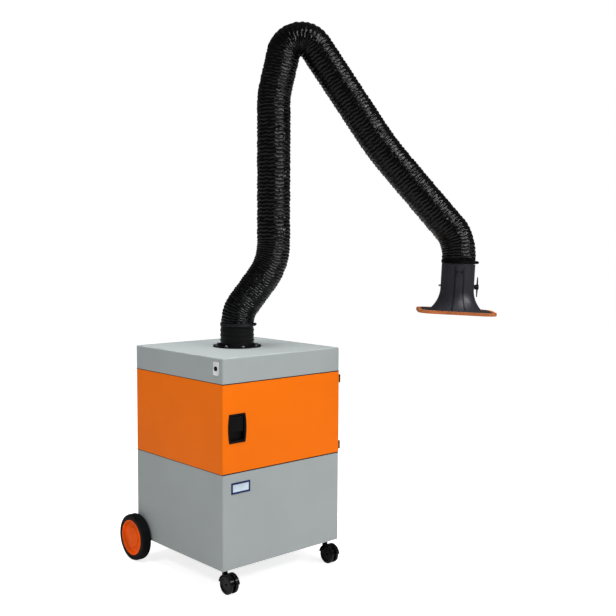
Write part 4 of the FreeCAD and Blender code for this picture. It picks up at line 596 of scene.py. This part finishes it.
class FUME_OT_insides(bpy.types.Operator):
    """Finish the filter and the fan behind the door"""

    bl_idname = "fume.insides"
    bl_label = "Filter and fan"

    def execute(self, context):
        dress(plated_metal("galvanised_sheet", "A9ADAF", (0.4, 0.6), (1, 1, 1)), "filter_rails",
              "partition_plate", "fan_scroll", "fan_shaft")
        dress(filter_mat("filter_cardboard", "C59F72"), "filter_frame")
        dress(filter_mat("filter_glass_fleece", "ECECE6"), "filter_pleats")
        dress(spark_mesh("spark_screen_wire", "C6C8C9"), "spark_screen")
        dress(plated_metal("cast_aluminium", "B4B7B8", (0.4, 0.55), (1, 1, 1)), "fan_impeller")
        dress(moulded_nylon("motor_enamel", "3C4148", (0.4, 0.5)), "fan_motor")
        return {"FINISHED"}


class FUME_OT_wheels(bpy.types.Operator):
    """Finish the rear wheels and the casters"""

    bl_idname = "fume.wheels"
    bl_label = "Wheels"

    def execute(self, context):
        colours = context.scene.fume_colours
        tyre = moulded_rubber("tyre_rubber", colours.rubber)
        hub = moulded_nylon("orange_moulded_hub", colours.hub, (0.34, 0.44), 0.06)
        nylon = moulded_nylon("caster_nylon", colours.black, (0.15, 0.22), 0.22)
        for side in ("left", "right"):
            dress(tyre, f"rear_tyre_{side}")
            dress(hub, f"rear_hub_{side}")
            dress(nylon, f"caster_wheels_{side}", f"caster_fork_{side}", f"caster_brake_{side}")
        return {"FINISHED"}


class FUME_OT_arm(bpy.types.Operator):
    """Finish the arm's collar, clamps, struts and hood"""

    bl_idname = "fume.arm"
    bl_label = "Arm and hood"

    def execute(self, context):
        colours = context.scene.fume_colours
        dress(moulded_nylon("collar_nylon", colours.black, (0.3, 0.42)), "swivel_collar", "damper_knob")
        dress(moulded_nylon("hood_abs", colours.hood, (0.3, 0.42), 0.3), "hood_shell")
        dress(moulded_nylon("orange_rim_plastic", colours.rim, (0.34, 0.45)), "hood_rim")
        dress(plated_metal("strut_aluminium", "C2C5C7", (0.3, 0.45)), "arm_foot", "lower_strut",
              "upper_strut", "hood_yoke", "damper_flap")
        dress(plated_metal("zinc_plated_bolts", "B4B7B9", (0.28, 0.42)), "lower_pivot_bolt",
              "elbow_pivot_bolt", "hood_pivot_bolt")
        # The base clamp's steel is lighter than the hood clamp's: painted reflection in place of the dim
        # surround's.
        dress(plated_metal("dulled_band_steel", "44464A", (0.3, 0.45)), "base_clamp")
        dress(plated_metal("blackened_band_steel", "202124", (0.3, 0.45)), "hood_clamp")
        return {"FINISHED"}


class FUME_OT_hose(bpy.types.Operator):
    """Make the ribbed hose in stretches that ride on the arm's bodies, those between two bodies on none"""

    bl_idname = "fume.hose"
    bl_label = "Hose"

    def execute(self, context):
        hose = context.scene.fume_hose
        cloth = coated_cloth("coated_hose_cloth", context.scene.fume_colours.hose)
        line = HoseLine(route_points())
        whole, start = line.marks[-1], 0.0
        for node, bodies, last, turning, bunch in HOSE_STRETCHES:
            end = line.nearest(in_arm(*last))
            count = max(1, round((end - start) / (hose.pitch * bunch)))
            obj = hose_tube("cloth_" + node, line, start, end, count, hose,
                            lambda distance: not hose.cuff < distance < whole - hose.cuff)
            obj.data.materials.append(cloth)
            if turning:
                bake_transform(obj)
            else:
                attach(obj, *bodies)
            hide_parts(node)
            start = end
        return {"FINISHED"}


class FUME_OT_flange_bolts(bpy.types.Operator):
    """Make the hexagon bolts of the arm's flange"""

    bl_idname = "fume.flange_bolts"
    bl_label = "Flange bolts"

    def execute(self, context):
        fittings = context.scene.fume_fittings
        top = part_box("flange_screws")[1].z
        head = self.disc(6, fittings.bolt_radius, fittings.bolt_height, top)
        washer = self.disc(32, fittings.washer_radius, fittings.washer_height, top - fittings.bolt_height)
        bolt = join([head, washer])
        step = 2 * math.pi / fittings.bolt_count
        out = Matrix.Translation((fittings.bolt_circle, 0, 0))
        places = [Matrix.Rotation(step * (k + 0.5), 4, "Z") @ out for k in range(fittings.bolt_count)]
        # Lighter than the other zinc-plated bolts: painted highlight, so that the heads show as light dots.
        steel = plated_metal("zinc_plated_flange_bolts", "D2D5D8", (0.3, 0.45))
        settle(copies(bolt, places), "flange_hex_bolts", steel, "cabinet", "steel", "flange_screws")
        return {"FINISHED"}

    def disc(self, corners, radius, height, top):
        """One rounded disc, hexagonal or round by its count of corners, with its top at a height."""
        deselect()
        bpy.ops.mesh.primitive_cylinder_add(vertices=corners, radius=radius, depth=height,
                                            location=(0, 0, top - height / 2))
        disc = bpy.context.object
        bpy.ops.object.transform_apply(location=True)
        round_off(disc, height / 6, 2)
        return disc


class FUME_OT_hood_ribs(bpy.types.Operator):
    """Make the two moulded ribs and the screws on the front of the hood"""

    bl_idname = "fume.hood_ribs"
    bl_label = "Hood ribs"

    def execute(self, context):
        fittings = context.scene.fume_fittings
        ribs = copies(self.rib(fittings), [HOOD_PLACE @ self.turned(angle) for angle in RIB_TURNS])
        screws = copies(self.screw(fittings), [HOOD_PLACE @ self.turned(angle) for angle in SCREW_TURNS])
        # Ribs and screws take the hood's colour darkened to 0.6: painted shade, so that they read as dark
        # lines.
        black = moulded_nylon("hood_rib_abs", shade(context.scene.fume_colours.hood, 0.6), (0.4, 0.5), 0.15)
        settle(join([ribs, screws]), "hood_front_ribs", black, "hood", "black_plastic")
        return {"FINISHED"}

    def turned(self, degrees):
        """A turn round the hood's axis."""
        return Matrix.Rotation(math.radians(degrees), 4, "Z")

    def rib(self, fittings):
        """One rib, drawn down the neck and the bell from a small flat start."""
        line = [(NECK_RADIUS, NECK_BASE + RIB_START), (NECK_RADIUS, NECK_BASE)]
        for degrees in RIB_BEND:
            bend = math.radians(degrees)
            line.append((NECK_RADIUS + BELL_RADIUS * (1 - math.cos(bend)),
                         NECK_BASE - BELL_RADIUS * math.sin(bend)))
        deselect()
        bpy.ops.mesh.primitive_plane_add(size=1, location=(line[0][0], 0, line[0][1]))
        rib = bpy.context.object
        rib.scale = (2 * fittings.rib_proud, fittings.rib_width, 1)
        bpy.ops.object.transform_apply(location=True, scale=True)
        bpy.ops.object.mode_set(mode="EDIT")
        bpy.ops.mesh.select_all(action="SELECT")
        for before, after in zip(line, line[1:]):
            step = (after[0] - before[0], 0, after[1] - before[1])
            bpy.ops.mesh.extrude_region_move(TRANSFORM_OT_translate={"value": step})
        bpy.ops.mesh.select_all(action="SELECT")
        bpy.ops.mesh.normals_make_consistent(inside=False)
        bpy.ops.object.mode_set(mode="OBJECT")
        round_off(rib, fittings.rib_proud / 4, 2)
        return rib

    def screw(self, fittings):
        """One round screw head with a sunk middle, standing on the neck."""
        deselect()
        bpy.ops.mesh.primitive_cylinder_add(vertices=24, radius=fittings.screw_radius,
                                            depth=2 * fittings.rib_proud,
                                            location=(NECK_RADIUS, 0, NECK_BASE + SCREW_LEVEL),
                                            rotation=(0, math.radians(90), 0))
        head = bpy.context.object
        bpy.ops.object.transform_apply(location=True, rotation=True)
        outer = NECK_RADIUS + fittings.rib_proud
        pick(head, "FACE", lambda face: face.center.x > outer - fittings.cord_recess)
        bpy.ops.mesh.inset(thickness=fittings.screw_radius / 3)
        bpy.ops.mesh.extrude_region_move(TRANSFORM_OT_translate={"value": (-fittings.rib_proud / 2, 0, 0)})
        bpy.ops.object.mode_set(mode="OBJECT")
        return head


class FUME_OT_hood_lip(bpy.types.Operator):
    """Make the orange lip that lies on the mouth plate's edge"""

    bl_idname = "fume.hood_lip"
    bl_label = "Hood lip"

    def execute(self, context):
        fittings = context.scene.fume_fittings
        deselect()
        bpy.ops.mesh.primitive_plane_add(size=1, location=(0, 0, MOUTH_TOP))
        lip = bpy.context.object
        lip.scale = (*MOUTH_SIZE, 1)
        bpy.ops.object.transform_apply(location=True, scale=True)
        bpy.ops.object.mode_set(mode="EDIT")
        bpy.ops.mesh.select_all(action="SELECT")
        bpy.ops.mesh.bevel(offset=MOUTH_CORNER, segments=14, affect="VERTICES")
        bpy.ops.object.mode_set(mode="OBJECT")
        frame_ring(lip, fittings.lip_width, fittings.lip_height)
        round_off(lip, fittings.lip_height / 3, 2)
        lip.data.transform(HOOD_PLACE)
        orange = moulded_nylon("orange_lip_plastic", context.scene.fume_colours.rim, (0.34, 0.45))
        settle(lip, "hood_lip", orange, "hood", "copper_rim")
        return {"FINISHED"}


class FUME_OT_blank_plate(bpy.types.Operator):
    """Make the blank plate on the lower housing's front"""

    bl_idname = "fume.blank_plate"
    bl_label = "Blank plate"

    def execute(self, context):
        fittings, face = context.scene.fume_fittings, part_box("lower_housing")[0].y
        deselect()
        bpy.ops.mesh.primitive_cube_add(size=1, location=(PLATE_ACROSS, face - fittings.plate_gauge / 3,
                                                          PLATE_UP))
        plate = bpy.context.object
        plate.scale = (fittings.plate_width, fittings.plate_gauge, fittings.plate_height)
        bpy.ops.object.transform_apply(location=True, scale=True)
        pick(plate, "FACE", lambda side: side.normal.y < -0.5)
        bpy.ops.mesh.inset(thickness=fittings.plate_border)
        bpy.ops.object.mode_set(mode="OBJECT")
        plate.data.materials.append(moulded_nylon("blue_printed_film", context.scene.fume_colours.border))
        plate.data.materials.append(moulded_nylon("white_printed_film", "D3E1EE"))
        for side in plate.data.polygons:
            side.material_index = int(side.select)
        settle(plate, "blank_plate", None, "cabinet", "white_plastic")
        return {"FINISHED"}


class FUME_OT_stage(bpy.types.Operator):
    """Set the floor, the light and the camera"""

    bl_idname = "fume.stage"
    bl_label = "Stage"

    def execute(self, context):
        scene, stage = context.scene, context.scene.fume_stage
        scene.view_settings.view_transform = "Standard"
        self.floor()
        self.sky(scene, stage.sky, stage.sheen)
        for name, (place, size, level, hidden) in LAMPS.items():
            lamp = self.lamp(name, place, size, getattr(stage, level))
            if hidden:
                setattr(lamp, hidden, False)
        self.camera(scene)
        return {"FINISHED"}

    def floor(self):
        """A floor that looks white to the camera and keeps the object's shadow."""
        deselect()
        bpy.ops.mesh.primitive_plane_add(size=FLOOR_SIZE, location=(0, 0, 0))
        floor = bpy.context.object
        floor.name = "studio_floor"
        material, tree, surface = blank_material("pale_floor", Base_Color=linear("C8C8C8"), Roughness=0.9,
                                                 Specular_IOR_Level=0.1, Emission_Color=WHITE)
        rays = add(tree, "LightPath")
        lift = add(tree, "Math", [(rays, "Is Camera Ray", 0)], [("Value", surface, "Emission Strength")],
                   operation="MULTIPLY")
        lift.inputs[1].default_value = FLOOR_LIFT
        floor.data.materials.append(material)

    def sky(self, scene, level, sheen):
        """White to the camera, an even light on the object, and dim in gloss, so that black stays black."""
        world = bpy.data.worlds.new("studio")
        scene.world = world
        world.use_nodes = True
        tree = world.node_tree
        tree.nodes.clear()
        rays = add(tree, "LightPath")
        seen = add(tree, "Background", Color=WHITE, Strength=1.0)
        light = add(tree, "Background", Color=WHITE, Strength=level)
        mirrored = add(tree, "Background", Color=WHITE, Strength=sheen)
        inner = add(tree, "MixShader", [(rays, "Is Glossy Ray", "Fac"), (light, "Background", 1),
                                        (mirrored, "Background", 2)])
        clear = add(tree, "Math", [(rays, "Is Camera Ray", 0), (rays, "Is Transmission Ray", 1)],
                    operation="MAXIMUM")
        outer = add(tree, "MixShader", [(clear, "Value", "Fac"), (inner, "Shader", 1),
                                        (seen, "Background", 2)])
        add(tree, "OutputWorld", [(outer, "Shader", "Surface")])

    def lamp(self, name, place, size, watts):
        """One area lamp that points at the middle of the object."""
        deselect()
        bpy.ops.object.light_add(type="AREA", location=place)
        lamp = bpy.context.object
        lamp.name = name
        lamp.data.shape = "RECTANGLE"
        lamp.data.size, lamp.data.size_y = size
        lamp.data.energy = watts
        lamp.rotation_euler = (LAMP_AIM - Vector(place)).to_track_quat("-Z", "Y").to_euler()
        return lamp

    def camera(self, scene):
        """The photograph's view."""
        data = bpy.data.cameras.new("photo_camera")
        data.sensor_fit = "HORIZONTAL"
        data.sensor_width = 36
        data.lens = CAMERA_LENS
        data.clip_end = 200
        camera = bpy.data.objects.new("photo_camera", data)
        scene.collection.objects.link(camera)
        camera.matrix_world = (Matrix.Translation(CAMERA_PLACE) @ Matrix.Rotation(-CAMERA_YAW, 4, "Z")
                               @ Matrix.Rotation(math.radians(90) - CAMERA_PITCH, 4, "X")
                               @ Matrix.Rotation(CAMERA_ROLL, 4, "Z"))
        scene.camera = camera


STEPS = (FUME_OT_cabinet, FUME_OT_seam_shade_cords, FUME_OT_insides, FUME_OT_wheels, FUME_OT_arm, FUME_OT_hose,
         FUME_OT_flange_bolts, FUME_OT_hood_ribs, FUME_OT_hood_lip, FUME_OT_blank_plate, FUME_OT_stage)


class FUME_PT_panel(bpy.types.Panel):
    """Lists the steps that dress the extractor"""

    bl_idname = "FUME_PT_panel"
    bl_label = "Fume Extractor"
    bl_space_type = "VIEW_3D"
    bl_region_type = "UI"
    bl_category = "Extractor"

    def draw(self, context):
        for step in STEPS:
            self.layout.operator(step.bl_idname)


CLASSES = (FumeHose, FumeFittings, FumeColours, FumeStage, *STEPS, FUME_PT_panel)


def register():
    for made in CLASSES:
        bpy.utils.register_class(made)
    bpy.types.Scene.fume_hose = PointerProperty(type=FumeHose)
    bpy.types.Scene.fume_fittings = PointerProperty(type=FumeFittings)
    bpy.types.Scene.fume_colours = PointerProperty(type=FumeColours)
    bpy.types.Scene.fume_stage = PointerProperty(type=FumeStage)


def unregister():
    del bpy.types.Scene.fume_hose
    del bpy.types.Scene.fume_fittings
    del bpy.types.Scene.fume_colours
    del bpy.types.Scene.fume_stage
    for made in reversed(CLASSES):
        bpy.utils.unregister_class(made)


def main():
    register()
    bpy.ops.fume.cabinet()
    bpy.ops.fume.seam_cords()
    bpy.ops.fume.insides()
    bpy.ops.fume.wheels()
    bpy.ops.fume.arm()
    bpy.ops.fume.hose()
    bpy.ops.fume.flange_bolts()
    bpy.ops.fume.hood_ribs()
    bpy.ops.fume.hood_lip()
    bpy.ops.fume.blank_plate()
    bpy.ops.fume.stage()
    bpy.context.view_layer.update()


if __name__ == "__main__":
    main()
